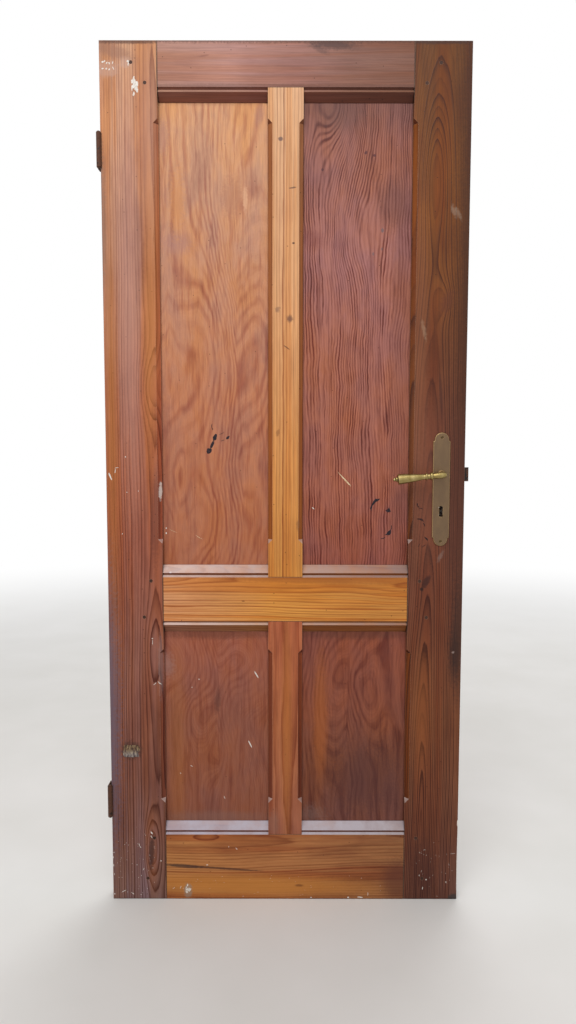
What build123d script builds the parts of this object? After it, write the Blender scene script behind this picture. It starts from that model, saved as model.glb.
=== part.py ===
from build123d import *

import math
import os

# A panelled front door: a framed leaf with four panels, hung on two butt hinges, with a
# mortise lock worked by lever handles on long plates.
# Millimetres. X runs across the leaf to the lock edge, Y through it to the back, Z up.
# The origin is in the middle of the leaf's bottom edge.

# The leaf
door_w = 840
door_h = 2010
door_t = 40
arris_r = 1.5
stile_w = 130
muntin_w = 81
top_rail_w = 100
lock_rail_w = 105
lock_rail_z = 690
bottom_rail_w = 163

# Panels and the grooves that hold them
panel_t = 10
groove_depth = 10
panel_gap = 1

# The moulding run on each rail edge that meets a panel: a V groove, then a plain bevel
quirk_w = 4.5
quirk_depth = 4.5
bead_at = 10
bead_drop = 1.5
moulding_w = 28
foot_step = 1.5

# Stopped chamfers on the stiles and muntins
chamfer_w = 10
chamfer_above_rail = 80
chamfer_below_rail = 68

# Joints of the frame
tenon_t = 14
tenon_set = 4
top_haunch = 25
bottom_haunch = 30
wedge_t = 5
wedge_len = 60
stub_len = 30
stub_w = 56
peg_r = 4
peg_near = 28
peg_mid = 45
peg_far = 59
peg_in = 22
fit = 0.05

# Butt hinges, two alike
hinge_h = 76
hinge_from_top = 238
hinge_from_bottom = 248
leaf_t = 2.5
leaf_reach = 30
knuckle_r = 5.5
knuckle_count = 5
knuckle_gap = 0.3
pin_r = 3
pin_head_r = 3.9
pin_head_h = 2.5
pin_head_round = 1.5
pin_proud = 3
hinge_screw_end = 12
hinge_screw_in = 8
hinge_screw_mid = 15
hinge_screw_r = 2.2
hinge_screw_head_r = 4.2
hinge_screw_len = 28
slot_w = 0.9
slot_depth = 0.8

# Lock, set out from the lock edge
backset = 55
lever_z = 1039
key_drop = 79
faceplate_w = 20
faceplate_len = 236
faceplate_t = 3
faceplate_screw_in = 9
case_drop = 39
case_w = 85
case_len = 170
case_t = 15
case_wall = 1.5
case_room = 0.5
pillar_r = 3
case_screw_r = 1.4
case_screw_head_r = 2.6
case_screw_len = 6
pillar_in = 9

# Latch bolt and the follower that draws it
latch_w = 33
latch_out = 12
latch_depth = 22
slide_gap = 0.2
tail_w = 9
tail_t = 4.4
tail_left = 18
lug_w = 7
follower_r = 8
collar_r = 11
arm_r = 19
arm_w = 7
arm_gap = 0.5
tail_gap = 1
latch_tip = 2
latch_heel = 1.5

# Dead bolt
dead_w = 28
dead_drop = 59
dead_depth = 22
dead_throw = 15
dead_step = 6
dead_tail_w = 21
dead_tail_t = 6.7
dead_tail_len = 57
talon_w = 13
talon_depth = 6
guide_r = 2.5
guide_from_head = 10
guide_up = 5
notch_depth = 2.5
notch_w = 5
notch_from_spindle = 8

# Springs, bent from flat steel
spring_t = 0.8
spring_w = 6
spring_gap = 0.3
spring_bend_r = 4
spring_headroom = 4
spring_rise = 8

# Plates and levers
plate_w = 40
plate_len = 266
plate_t = 3
plate_drop = 35.5
plate_bevel = 1.2
shoulder_r = 3.5
plate_screw_in = 11
plate_screw_r = 2
plate_screw_head_r = 3.8
plate_screw_len = 17
boss_wall = 2.5
boss_h = 3
keyhole_r = 5.2
keyhole_len = 20.4
keyhole_waist = 7.4
keyhole_foot = 9.9
keyhole_room = 0.5
key_way_room = 2
lever_reach = 42
lever_droop = 5.5
neck_r = 7
elbow_r = 9
swell_r = 7.3
swell_at = 16
bead_one_at = 31
bead_one_w = 7
bead_one_r = 9.4
bead_two_at = 43
bead_two_w = 4.4
bead_two_r = 8.8
waist_r = 6.2
grip_start = 49
grip_end = 107
grip_mid_r = 9.9
grip_end_r = 12.3
end_gap = 2.4
groove_r = 4.5
cap_r = 6.4
cap_w = 3
ball_r = 4
ball_neck_r = 2.6
spindle_w = 8
spindle_short = 4
lever_pin_r = 1.5
lever_pin_out = 12
lever_pin_sink = 0.5
socket_gap = 0.1

# Places worked out from the sizes above
edge = door_w / 2
front = -door_t / 2
back = door_t / 2
shoulder = edge - stile_w
top_rail_z = door_h - top_rail_w
lock_rail_top = lock_rail_z + lock_rail_w
foot_y = panel_t / 2 + foot_step
groove = groove_depth + panel_gap
openings = [(bottom_rail_w, lock_rail_z), (lock_rail_top, top_rail_z)]
top_tenon = (top_rail_z - moulding_w + groove + tenon_set, door_h - top_haunch)
lock_tenon = (lock_rail_z - moulding_w + groove + tenon_set, lock_rail_top + moulding_w - groove - tenon_set)
bottom_tenon = (bottom_haunch, bottom_rail_w + moulding_w - groove - tenon_set)
tenons = {"top_rail": top_tenon, "lock_rail": lock_tenon, "bottom_rail": bottom_tenon}
peg_set_back = {
    "top_rail": (peg_near, peg_far),
    "lock_rail": (peg_mid, peg_near),
    "bottom_rail": (peg_mid, peg_near),
}
pin_x = -edge - knuckle_r + leaf_t
pin_y = front - pin_proud
hinge_places = {"upper": door_h - hinge_from_top, "lower": hinge_from_bottom}
spindle_x = edge - backset
case_z = lever_z - case_drop
plate_z = lever_z - plate_drop
key_z = lever_z - key_drop
case_right = edge - faceplate_t
case_left = case_right - case_w
case_low, case_high = case_z - case_len / 2, case_z + case_len / 2
case_inside = case_t / 2 - case_wall
faceplate_z = (case_z - faceplate_len / 2, case_z + faceplate_len / 2)
faceplate_seat = ((-faceplate_w / 2, faceplate_w / 2), faceplate_z)
latch_root = edge - latch_depth
dead_z = lever_z - dead_drop
dead_root = edge - dead_depth

os.makedirs("parts", exist_ok=True)


def block(x, y, z, mode=Mode.ADD):
    """A block between three pairs of limits, joined to the open part or cut from it."""
    low, high = zip(*(sorted(pair) for pair in (x, y, z)))
    with Locations(tuple((a + b) / 2 for a, b in zip(low, high))):
        Box(*(b - a for a, b in zip(low, high)), mode=mode)


def rod(x, z, radius, y, mode=Mode.ADD):
    """A round rod or hole through the thickness of the leaf, between two limits in y."""
    with Locations(Location((x, (y[0] + y[1]) / 2, z), (90, 0, 0))):
        Cylinder(radius, abs(y[1] - y[0]), mode=mode)


def save(piece, label):
    """Name a finished piece and write it out."""
    piece.label = label
    export_step(piece, f"parts/{label}.step")


def chamfer_cut(x, y, into, low, high):
    """Plane off the long arris at x, y between two heights, run out at both ends."""
    inward = Vector(into, -math.copysign(1, y), 0).normalized()
    deep = chamfer_w / math.sqrt(2)
    arris = Plane(origin=(x, y, 0), x_dir=(0, 0, 1), z_dir=Vector(0, 0, 1).cross(inward))
    with BuildSketch(arris) as cut:
        with BuildLine():
            Polyline(
                (low - chamfer_w, -deep),
                (high + chamfer_w, -deep),
                (high - chamfer_w, deep),
                (low + chamfer_w, deep),
                close=True,
            )
        make_face()
    extrude(cut.sketch, amount=chamfer_w, both=True, mode=Mode.SUBTRACT)


def chamfer_upright(x, into, opening):
    """The stopped chamfers on the front and back arrises of an upright at one opening."""
    low, high = opening
    for y in (front, back):
        chamfer_cut(x, y, into, low + chamfer_above_rail, high - chamfer_below_rail)


def wedge_outlines(side):
    """Tenon wedges in one stile, thick at the edge of the leaf: one below and one above each tenon."""
    outlines = []
    for low, high in tenons.values():
        for z, up in ((low, -1), (high, 1)):
            with BuildSketch(Plane.XZ) as outline:
                with BuildLine():
                    Polyline(
                        (side * edge, z),
                        (side * edge, z + up * wedge_t),
                        (side * (edge - wedge_len), z),
                        close=True,
                    )
                make_face()
            outlines.append(outline.sketch)
    return outlines


def peg_places(side, name):
    """Where the two pegs of one tenon cross a stile."""
    low, high = tenons[name]
    lower, upper = peg_set_back[name]
    return [(side * (shoulder + lower), low + peg_in), (side * (shoulder + upper), high - peg_in)]


def stile(side):
    """One long upright: the block, panel grooves, wedged mortises, peg holes and chamfers."""
    outer, inner = side * edge, side * shoulder
    with BuildPart() as upright:
        block((inner, outer), (front, back), (0, door_h))
        fillet(upright.edges().filter_by(Axis.Z).sort_by(Axis.X)[::side][-2:], arris_r)
        for low, high in openings:
            z = (low + moulding_w - groove, high - moulding_w + groove)
            block((inner, inner + side * groove), (-panel_t / 2, panel_t / 2), z, Mode.SUBTRACT)
            chamfer_upright(inner, side, (low, high))
        for low, high in tenons.values():
            block((inner, outer), (-tenon_t / 2, tenon_t / 2), (low, high), Mode.SUBTRACT)
        for outline in wedge_outlines(side):
            extrude(outline, amount=tenon_t / 2, both=True, mode=Mode.SUBTRACT)
        for name in tenons:
            for x, z in peg_places(side, name):
                rod(x, z, peg_r + fit, (front, back), Mode.SUBTRACT)
    return upright.part


def moulding(z, toward):
    """Half of a rail's moulding, from its face edge at z to its foot at the panel."""
    return [
        (back, z),
        (back - quirk_depth, z + toward * quirk_w),
        (back - bead_drop, z + toward * bead_at),
        (foot_y, z + toward * moulding_w),
    ]


def rail(name, low, high, moulded_low, moulded_high):
    """A rail between the stiles: moulded, grooved, notched for the muntins and tenoned."""
    half = moulding(low, -1)[::-1] if moulded_low else [(back, low)]
    half += moulding(high, 1) if moulded_high else [(back, high)]
    with BuildPart() as cross:
        with BuildSketch(Plane.YZ.offset(-shoulder)):
            with BuildLine():
                Polyline((0, half[0][1]), *half, (0, half[-1][1]))
                mirror(about=Plane.YZ)
            make_face()
        extrude(amount=2 * shoulder)
        for z, toward, moulded in ((low, -1, moulded_low), (high, 1, moulded_high)):
            if moulded:
                foot = z + toward * moulding_w
                floor = foot - toward * groove
                block((-shoulder, shoulder), (-panel_t / 2, panel_t / 2), (foot, floor), Mode.SUBTRACT)
                block((-muntin_w / 2, muntin_w / 2), (front, back), (z, foot), Mode.SUBTRACT)
                stub = (z, z - toward * stub_len)
                block((-stub_w / 2, stub_w / 2), (-tenon_t / 2, tenon_t / 2), stub, Mode.SUBTRACT)
        for side in (-1, 1):
            block((side * shoulder, side * edge), (-tenon_t / 2, tenon_t / 2), tenons[name])
            for x, z in peg_places(side, name):
                rod(x, z, peg_r + fit, (front, back), Mode.SUBTRACT)
    return cross.part


def muntin(low, high):
    """A short upright between two rails: chamfered, grooved both sides, stub-tenoned."""
    half = muntin_w / 2
    with BuildPart() as upright:
        block((-half, half), (front, back), (low, high))
        for side in (-1, 1):
            groove_x = (side * half, side * (half - groove))
            block(groove_x, (-panel_t / 2, panel_t / 2), (low, high), Mode.SUBTRACT)
            chamfer_upright(side * half, -side, (low, high))
        block((-stub_w / 2, stub_w / 2), (-tenon_t / 2, tenon_t / 2), (low - stub_len, high + stub_len))
    return upright.part


def panel(side, low, high):
    """A flat panel, held in the grooves round its opening with a little room to move."""
    x = (side * (muntin_w / 2 - groove_depth), side * (shoulder + groove_depth))
    z = (low + moulding_w - groove_depth, high - moulding_w + groove_depth)
    with BuildPart() as sheet:
        block(x, (-panel_t / 2, panel_t / 2), z)
    return sheet.part


def screw(shank_r, head_r, length):
    """A slotted countersunk screw, its head's face at the origin and its point down Z."""
    head_h = head_r - shank_r
    with BuildPart() as one:
        with BuildSketch(Plane.XZ):
            with BuildLine():
                Polyline(
                    (0, 0),
                    (head_r, 0),
                    (shank_r, -head_h),
                    (shank_r, shank_r - length),
                    (0, -length),
                    close=True,
                )
            make_face()
        revolve(axis=Axis.Z)
        with Locations((0, 0, -slot_depth / 2)):
            Box(2 * head_r, slot_w, slot_depth, mode=Mode.SUBTRACT)
    return one.part


def screws(shape, places):
    """Like screws as one group of separate pieces."""
    with BuildPart() as group:
        with Locations(*places):
            add(shape)
    return group.part


def sunk_hole(place, shank_r, head_r, depth):
    """The hole for a countersunk screw whose head lies flush with the plane's face."""
    with Locations(place):
        CounterSinkHole(shank_r + fit, head_r + fit, depth, counter_sink_angle=90)


def pilot(place, shank_r, length):
    """The hole in the wood for a screw's shank."""
    with Locations(place):
        Hole(shank_r + fit, length + fit)


# The stiles
left_blank = stile(-1)
right_blank = stile(1)


def hinge_screw_places(z, x, out):
    """Three screw places in a hinge leaf: two far from the knuckle and one near it."""
    deep = pin_y + leaf_reach - hinge_screw_in
    near = pin_y + hinge_screw_mid
    half = hinge_h / 2 - hinge_screw_end
    spots = [(deep, z - half), (near, z), (deep, z + half)]
    return [Plane(origin=(x, y, up), x_dir=(0, 1, 0), z_dir=(out, 0, 0)) for y, up in spots]


door_side_screws = [p for z in hinge_places.values() for p in hinge_screw_places(z, -edge, -1)]

with BuildPart() as hinge_stile:
    add(left_blank)
    for z in hinge_places.values():
        seat = (z - hinge_h / 2 - fit, z + hinge_h / 2 + fit)
        block((-edge, -edge + leaf_t), (front, pin_y + leaf_reach), seat, Mode.SUBTRACT)
        with Locations((pin_x, pin_y, z)):
            Cylinder(knuckle_r + knuckle_gap, hinge_h + 2 * fit, mode=Mode.SUBTRACT)
    for place in door_side_screws:
        pilot(place, hinge_screw_r, hinge_screw_len)
save(hinge_stile.part, "hinge_stile")


def plate_screw_places(side):
    """The screws of one long plate: at its top and foot, facing out of the leaf."""
    y = side * (door_t / 2 + plate_t)
    return [
        Plane(origin=(spindle_x, y, z), x_dir=(1, 0, 0), z_dir=(0, side, 0))
        for z in (plate_z - plate_len / 2 + plate_screw_in, plate_z + plate_len / 2 - plate_screw_in)
    ]


faceplate_screw_places = [
    Plane(origin=(edge, 0, z), x_dir=(0, 1, 0), z_dir=(1, 0, 0))
    for z in (faceplate_z[0] + faceplate_screw_in, faceplate_z[1] - faceplate_screw_in)
]


def keyhole(y, depth, room):
    """Cut the keyhole: a round head for the key's stem over a flared slot for its bit."""
    face = Plane(origin=(spindle_x, y, key_z), x_dir=(1, 0, 0), z_dir=(0, -1, 0))
    with BuildSketch(face) as hole:
        Circle(keyhole_r + room)
        with BuildLine():
            Polyline(
                (-keyhole_waist / 2 - room, 0),
                (keyhole_waist / 2 + room, 0),
                (keyhole_foot / 2 + room, -keyhole_len - room),
                (-keyhole_foot / 2 - room, -keyhole_len - room),
                close=True,
            )
        make_face()
    extrude(hole.sketch, amount=depth, both=True, mode=Mode.SUBTRACT)


with BuildPart() as lock_stile:
    add(right_blank)
    case_x = (case_left - case_room, case_right)
    case_y = (-case_t / 2 - case_room, case_t / 2 + case_room)
    block(case_x, case_y, (case_low - case_room, case_high + case_room), Mode.SUBTRACT)
    block((case_right, edge), *faceplate_seat, Mode.SUBTRACT)
    rod(spindle_x, lever_z, collar_r, (front, back), Mode.SUBTRACT)
    keyhole(0, door_t, key_way_room)
    for place in plate_screw_places(-1) + plate_screw_places(1):
        pilot(place, plate_screw_r, plate_screw_len)
    for place in faceplate_screw_places:
        pilot(place, hinge_screw_r, hinge_screw_len)
save(lock_stile.part, "lock_stile")

# The rails, muntins and panels
save(rail("top_rail", top_rail_z, door_h, True, False), "top_rail")
save(rail("lock_rail", lock_rail_z, lock_rail_top, True, True), "lock_rail")
save(rail("bottom_rail", 0, bottom_rail_w, False, True), "bottom_rail")
for name, (low, high) in zip(("lower", "upper"), openings):
    save(muntin(low, high), f"{name}_muntin")
    save(panel(-1, low, high), f"panel_{name}_left")
    save(panel(1, low, high), f"panel_{name}_right")

with BuildPart() as draw_pegs:
    for side in (-1, 1):
        for name in tenons:
            for x, z in peg_places(side, name):
                rod(x, z, peg_r, (front, back))
save(draw_pegs.part, "draw_pegs")

with BuildPart() as tenon_wedges:
    for side in (-1, 1):
        for outline in wedge_outlines(side):
            extrude(outline, amount=tenon_t / 2, both=True)
save(tenon_wedges.part, "tenon_wedges")


def hinge_leaf(side, z, own):
    """One leaf of a butt hinge: a flat plate rolled round the pin into every other knuckle."""
    pitch = hinge_h / knuckle_count
    leaf_x = pin_x + side * (knuckle_r - leaf_t / 2)
    with BuildPart() as leaf:
        with BuildSketch(Plane.XY.offset(z - hinge_h / 2)):
            with Locations((pin_x, pin_y)):
                Circle(knuckle_r)
            with Locations((leaf_x, pin_y + leaf_reach / 2)):
                Rectangle(leaf_t, leaf_reach)
        extrude(amount=hinge_h)
        for i in range(knuckle_count):
            if i % 2 != own:
                with Locations((pin_x, pin_y, z - hinge_h / 2 + (i + 0.5) * pitch)):
                    Cylinder(knuckle_r + knuckle_gap, pitch + knuckle_gap, mode=Mode.SUBTRACT)
        with Locations((pin_x, pin_y, z)):
            Cylinder(pin_r + fit, hinge_h, mode=Mode.SUBTRACT)
        face = pin_x + side * (knuckle_r - leaf_t)
        for place in hinge_screw_places(z, face, -side):
            sunk_hole(place, hinge_screw_r, hinge_screw_head_r, leaf_t + fit)
    return leaf.part


def hinge_pin(z):
    """A hinge pin with a low domed head at both ends."""
    with BuildPart() as pin:
        with Locations((pin_x, pin_y, z)):
            Cylinder(pin_r, hinge_h)
        for up in (-1, 1):
            with Locations((pin_x, pin_y, z + up * (hinge_h + pin_head_h) / 2)):
                Cylinder(pin_head_r, pin_head_h)
        ends = pin.edges().filter_by(GeomType.CIRCLE).sort_by(Axis.Z)
        fillet([ends[0], ends[-1]], pin_head_round)
    return pin.part


# The hinges: the jamb leaf has the outer knuckles, the door leaf the ones between
for name, z in hinge_places.items():
    save(hinge_leaf(1, z, 1), f"{name}_hinge_door_leaf")
    save(hinge_leaf(-1, z, 0), f"{name}_hinge_jamb_leaf")
    save(hinge_pin(z), f"{name}_hinge_pin")
wood_screw = screw(hinge_screw_r, hinge_screw_head_r, hinge_screw_len)
save(screws(wood_screw, door_side_screws), "hinge_screws")

# The long plate, its raised boss round the lever's neck, keyhole and screw holes
with BuildPart() as front_plate:
    arch_r = plate_w / 2 - shoulder_r
    arch_y = plate_len / 2 - arch_r
    face = Plane(origin=(spindle_x, front, plate_z), x_dir=(1, 0, 0), z_dir=(0, -1, 0))
    with BuildSketch(face):
        with BuildLine():
            CenterArc((0, arch_y), arch_r, 0, 90)
            CenterArc((plate_w / 2, arch_y), shoulder_r, 180, 90)
            Line((plate_w / 2, arch_y - shoulder_r), (plate_w / 2, 0))
            mirror(about=Plane.XZ)
            mirror(about=Plane.YZ)
        make_face()
    extrude(amount=plate_t)
    chamfer(front_plate.faces().sort_by(Axis.Y)[0].edges(), plate_bevel)
    rod(spindle_x, lever_z, neck_r + boss_wall, (front, front - plate_t - boss_h))
    chamfer(front_plate.faces().sort_by(Axis.Y)[0].edges(), plate_bevel)
    rod(spindle_x, lever_z, neck_r + fit, (front, front - plate_t - boss_h), Mode.SUBTRACT)
    keyhole(front, 2 * plate_t, 0)
    for place in plate_screw_places(-1):
        sunk_hole(place, plate_screw_r, plate_screw_head_r, plate_t + fit)
save(front_plate.part, "front_plate")

with BuildPart() as back_plate:
    mirror(front_plate.part, about=Plane.XZ)
save(back_plate.part, "back_plate")

plate_screw = screw(plate_screw_r, plate_screw_head_r, plate_screw_len)
save(screws(plate_screw, plate_screw_places(-1) + plate_screw_places(1)), "plate_screws")

# The lever: a neck swept round the elbow, then a turned grip with two beads and a ball end
spindle_end = door_t / 2 + lever_reach - elbow_r - spindle_short
socket = spindle_w / 2 + socket_gap
socket_x = (spindle_x - socket, spindle_x + socket)
socket_z = (lever_z - socket, lever_z + socket)
elbow = Vector(spindle_x, front - lever_reach, lever_z)
along = Vector(-math.cos(math.radians(lever_droop)), 0, -math.sin(math.radians(lever_droop)))
with BuildPart() as front_lever:
    neck_foot = Vector(spindle_x, front, lever_z)
    with BuildLine():
        Line(neck_foot, elbow + Vector(0, elbow_r, 0))
        TangentArc(elbow + Vector(0, elbow_r, 0), elbow + along * elbow_r, tangent=(0, -1, 0))
    with BuildSketch(Plane(origin=neck_foot, z_dir=(0, -1, 0))):
        Circle(neck_r)
    sweep()
    bead_one = (bead_one_at - bead_one_w / 2, bead_one_at + bead_one_w / 2)
    bead_two = (bead_two_at - bead_two_w / 2, bead_two_at + bead_two_w / 2)
    cap = (grip_end + end_gap, grip_end + end_gap + cap_w)
    ball_at = cap[1] + math.sqrt(ball_r**2 - ball_neck_r**2)
    with BuildSketch(Plane(origin=elbow, x_dir=along, z_dir=(0, -1, 0))):
        with BuildLine():
            ThreePointArc((elbow_r, neck_r), (swell_at, swell_r), (bead_one[0], waist_r))
            ThreePointArc((bead_one[0], waist_r), (bead_one_at, bead_one_r), (bead_one[1], waist_r))
            Line((bead_one[1], waist_r), (bead_two[0], waist_r))
            ThreePointArc((bead_two[0], waist_r), (bead_two_at, bead_two_r), (bead_two[1], waist_r))
            Line((bead_two[1], waist_r), (grip_start, waist_r))
            grip_mid = ((grip_start + grip_end) / 2, grip_mid_r)
            ThreePointArc((grip_start, waist_r), grip_mid, (grip_end, grip_end_r))
            Polyline(
                (grip_end, grip_end_r),
                (grip_end + end_gap / 2, grip_end_r - end_gap / 2),
                (grip_end + end_gap / 2, groove_r),
                (cap[0], groove_r),
                (cap[0], cap_r),
                (cap[1], cap_r),
                (cap[1], ball_neck_r),
            )
            ThreePointArc((cap[1], ball_neck_r), (ball_at, ball_r), (ball_at + ball_r, 0))
            Polyline((ball_at + ball_r, 0), (elbow_r, 0), (elbow_r, neck_r))
        make_face()
    revolve(axis=Axis(elbow, along))
    block(socket_x, (front, -spindle_end - socket_gap), socket_z, Mode.SUBTRACT)
    with Locations((spindle_x, front - lever_pin_out, lever_z)):
        Cylinder(lever_pin_r + fit, 3 * neck_r, mode=Mode.SUBTRACT)
save(front_lever.part, "front_lever")

with BuildPart() as back_lever:
    mirror(front_lever.part, about=Plane.XZ)
save(back_lever.part, "back_lever")

pin_spots = [(spindle_x, side * (door_t / 2 + lever_pin_out), lever_z) for side in (-1, 1)]
with BuildPart() as spindle:
    with Locations((spindle_x, 0, lever_z)):
        Box(spindle_w, 2 * spindle_end, spindle_w)
    with Locations(*pin_spots):
        Cylinder(lever_pin_r + fit, 2 * spindle_w, mode=Mode.SUBTRACT)
save(spindle.part, "spindle")

with BuildPart() as lever_pins:
    with Locations(*pin_spots):
        Cylinder(lever_pin_r, 2 * (neck_r - lever_pin_sink))
save(lever_pins.part, "lever_pins")

# The lock: heights and depths inside the case
tail_y = (case_inside - slide_gap - tail_t, case_inside - slide_gap)
hub_y = (-case_inside + slide_gap, tail_y[0] - slide_gap)
tail_z = (lever_z + collar_r + tail_gap, lever_z + collar_r + tail_gap + tail_w)
lug_x = spindle_x - arm_w / 2 - arm_gap
dead_tail_left = dead_root - dead_tail_len
dead_tail_low = dead_z - dead_w / 2 + dead_step
dead_tail_y = (case_inside - slide_gap - dead_tail_t, case_inside - slide_gap)
dead_tail_top = dead_tail_low + dead_tail_w
guide_at = (dead_root - guide_from_head, dead_z + guide_up)
notch_x = spindle_x + notch_from_spindle
pillars = [
    (case_left + pillar_in, case_low + pillar_in),
    (case_right - pillar_in, (dead_z + dead_w / 2 + lever_z - latch_w / 2) / 2),
    (case_right - pillar_in, case_high - pillar_in),
]

with BuildPart() as lock_case:
    block((case_left, case_right), (-case_inside, case_t / 2), (case_low, case_high))
    hollow_z = (case_low + case_wall, case_high - case_wall)
    block((case_left + case_wall, case_right), (-case_inside, case_inside), hollow_z, Mode.SUBTRACT)
    for x, z in pillars:
        rod(x, z, pillar_r, (-case_inside, case_inside))
        rod(x, z, case_screw_r + fit, (-case_inside, 0), Mode.SUBTRACT)
    rod(*guide_at, guide_r, (dead_tail_y[0], case_inside))
    rod(spindle_x, lever_z, follower_r + fit, (case_inside, case_t / 2), Mode.SUBTRACT)
    keyhole(case_t / 2, case_wall, keyhole_room)
save(lock_case.part, "lock_case")

case_screw_places = [
    Plane(origin=(x, -case_t / 2, z), x_dir=(1, 0, 0), z_dir=(0, -1, 0)) for x, z in pillars
]
with BuildPart() as lock_cover:
    block((case_left, case_right), (-case_t / 2, -case_inside), (case_low, case_high))
    rod(spindle_x, lever_z, follower_r + fit, (-case_t / 2, -case_inside), Mode.SUBTRACT)
    keyhole(-case_t / 2, case_wall, keyhole_room)
    for place in case_screw_places:
        sunk_hole(place, case_screw_r, case_screw_head_r, case_wall + fit)
save(lock_cover.part, "lock_cover")
save(screws(screw(case_screw_r, case_screw_head_r, case_screw_len), case_screw_places), "case_screws")

bolt_y = (slide_gap - case_inside, case_inside - slide_gap)
with BuildPart() as lock_faceplate:
    block((case_right, edge), *faceplate_seat)
    for z, width in ((lever_z, latch_w), (dead_z, dead_w)):
        half = width / 2 + slide_gap
        block((case_right, edge), (-case_inside, case_inside), (z - half, z + half), Mode.SUBTRACT)
    for place in faceplate_screw_places:
        sunk_hole(place, hinge_screw_r, hinge_screw_head_r, faceplate_t + fit)
save(lock_faceplate.part, "lock_faceplate")
save(screws(wood_screw, faceplate_screw_places), "faceplate_screws")

with BuildPart() as follower:
    rod(spindle_x, lever_z, follower_r, (-case_t / 2, case_t / 2))
    rod(spindle_x, lever_z, collar_r, hub_y)
    block((spindle_x - arm_w / 2, spindle_x + arm_w / 2), hub_y, (lever_z, lever_z + arm_r))
    block(socket_x, (-case_t, case_t), socket_z, Mode.SUBTRACT)
save(follower.part, "follower")

# The latch bolt: a head bevelled towards the back of the leaf, and a tail over the follower
with BuildPart() as latch_bolt:
    with BuildSketch(Plane.XY.offset(lever_z - latch_w / 2)):
        with BuildLine():
            Polyline(
                (latch_root, bolt_y[0]),
                (edge + latch_out, bolt_y[0]),
                (edge + latch_out, bolt_y[0] + latch_tip),
                (edge + latch_heel, bolt_y[1]),
                (latch_root, bolt_y[1]),
                close=True,
            )
        make_face()
    extrude(amount=latch_w)
    block((spindle_x - tail_left, latch_root), tail_y, tail_z)
    block((latch_root, latch_root + lug_w), tail_y, (lever_z, tail_z[1]))
    block((lug_x - lug_w, lug_x), (hub_y[0], tail_y[1]), tail_z)
save(latch_bolt.part, "latch_bolt")

with BuildPart() as dead_bolt:
    block((dead_root, edge - slide_gap), bolt_y, (dead_z - dead_w / 2, dead_z + dead_w / 2))
    block((dead_tail_left, dead_root), dead_tail_y, (dead_tail_low, dead_tail_top))
    talon_x = (spindle_x - talon_w / 2, spindle_x + talon_w / 2)
    block(talon_x, dead_tail_y, (dead_tail_low, dead_tail_low + talon_depth), Mode.SUBTRACT)
    slot_mid = (guide_at[0] - dead_throw / 2, case_inside, guide_at[1])
    with BuildSketch(Plane(origin=slot_mid, x_dir=(1, 0, 0), z_dir=(0, -1, 0))):
        SlotCenterToCenter(dead_throw, 2 * (guide_r + slide_gap))
    extrude(amount=case_t, mode=Mode.SUBTRACT)
    for x in (notch_x, notch_x - dead_throw):
        place = Plane(origin=(x, case_inside, dead_tail_top), x_dir=(1, 0, 0), z_dir=(0, -1, 0))
        with BuildSketch(place):
            with BuildLine():
                Polyline((-notch_w / 2, 0), (notch_w / 2, 0), (0, -notch_depth), close=True)
            make_face()
        extrude(amount=case_t, mode=Mode.SUBTRACT)
save(dead_bolt.part, "dead_bolt")


def bent_spring(points, bend_r):
    """A flat steel spring, bent to a line of points seen from the front of the lock."""
    with BuildPart() as strip:
        with BuildSketch(Plane(origin=(0, hub_y[0], 0), x_dir=(1, 0, 0), z_dir=(0, -1, 0))):
            with BuildLine():
                FilletPolyline(*points, radius=bend_r)
            trace(line_width=spring_t)
        extrude(amount=-spring_w)
    return strip.part


wall_x = case_left + case_wall + spring_gap + spring_t / 2
leg_x = lug_x - lug_w - spring_gap - spring_t / 2
spring_top = case_high - case_wall - spring_headroom
latch_spring_points = [(wall_x, tail_z[0]), ((wall_x + leg_x) / 2, spring_top), (leg_x, tail_z[0])]
save(bent_spring(latch_spring_points, spring_bend_r), "latch_spring")

tip_z = dead_tail_top - notch_depth + spring_gap + spring_t
bolt_spring_points = [
    (wall_x, tip_z + 2 * spring_rise),
    (notch_x - spring_rise, tip_z + spring_rise),
    (notch_x, tip_z),
    (notch_x + spring_rise, tip_z + spring_rise),
]
save(bent_spring(bolt_spring_points, spring_t), "bolt_spring")
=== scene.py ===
import math
import random

import bmesh
import bpy
from mathutils import Matrix, Vector, noise


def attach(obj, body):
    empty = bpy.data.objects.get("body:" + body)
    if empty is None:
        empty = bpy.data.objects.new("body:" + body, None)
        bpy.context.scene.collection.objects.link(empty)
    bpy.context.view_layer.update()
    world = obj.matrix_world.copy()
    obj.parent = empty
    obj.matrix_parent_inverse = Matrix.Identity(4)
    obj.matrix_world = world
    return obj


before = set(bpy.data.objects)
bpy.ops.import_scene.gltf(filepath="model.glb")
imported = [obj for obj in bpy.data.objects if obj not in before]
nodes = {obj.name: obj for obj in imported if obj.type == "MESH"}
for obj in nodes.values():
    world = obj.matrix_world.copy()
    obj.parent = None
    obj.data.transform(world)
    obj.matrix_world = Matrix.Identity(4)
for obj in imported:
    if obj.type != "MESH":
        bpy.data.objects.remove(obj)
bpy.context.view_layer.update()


# The hinge stile: the long upright that the hinges are screwed to, an old pitch pine board with
# the pith close behind its panel side, so the growth rings run fine and straight at the outer
# edge and open into long eyes beside the panels. Oiled, walked past and knocked for decades.

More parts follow.
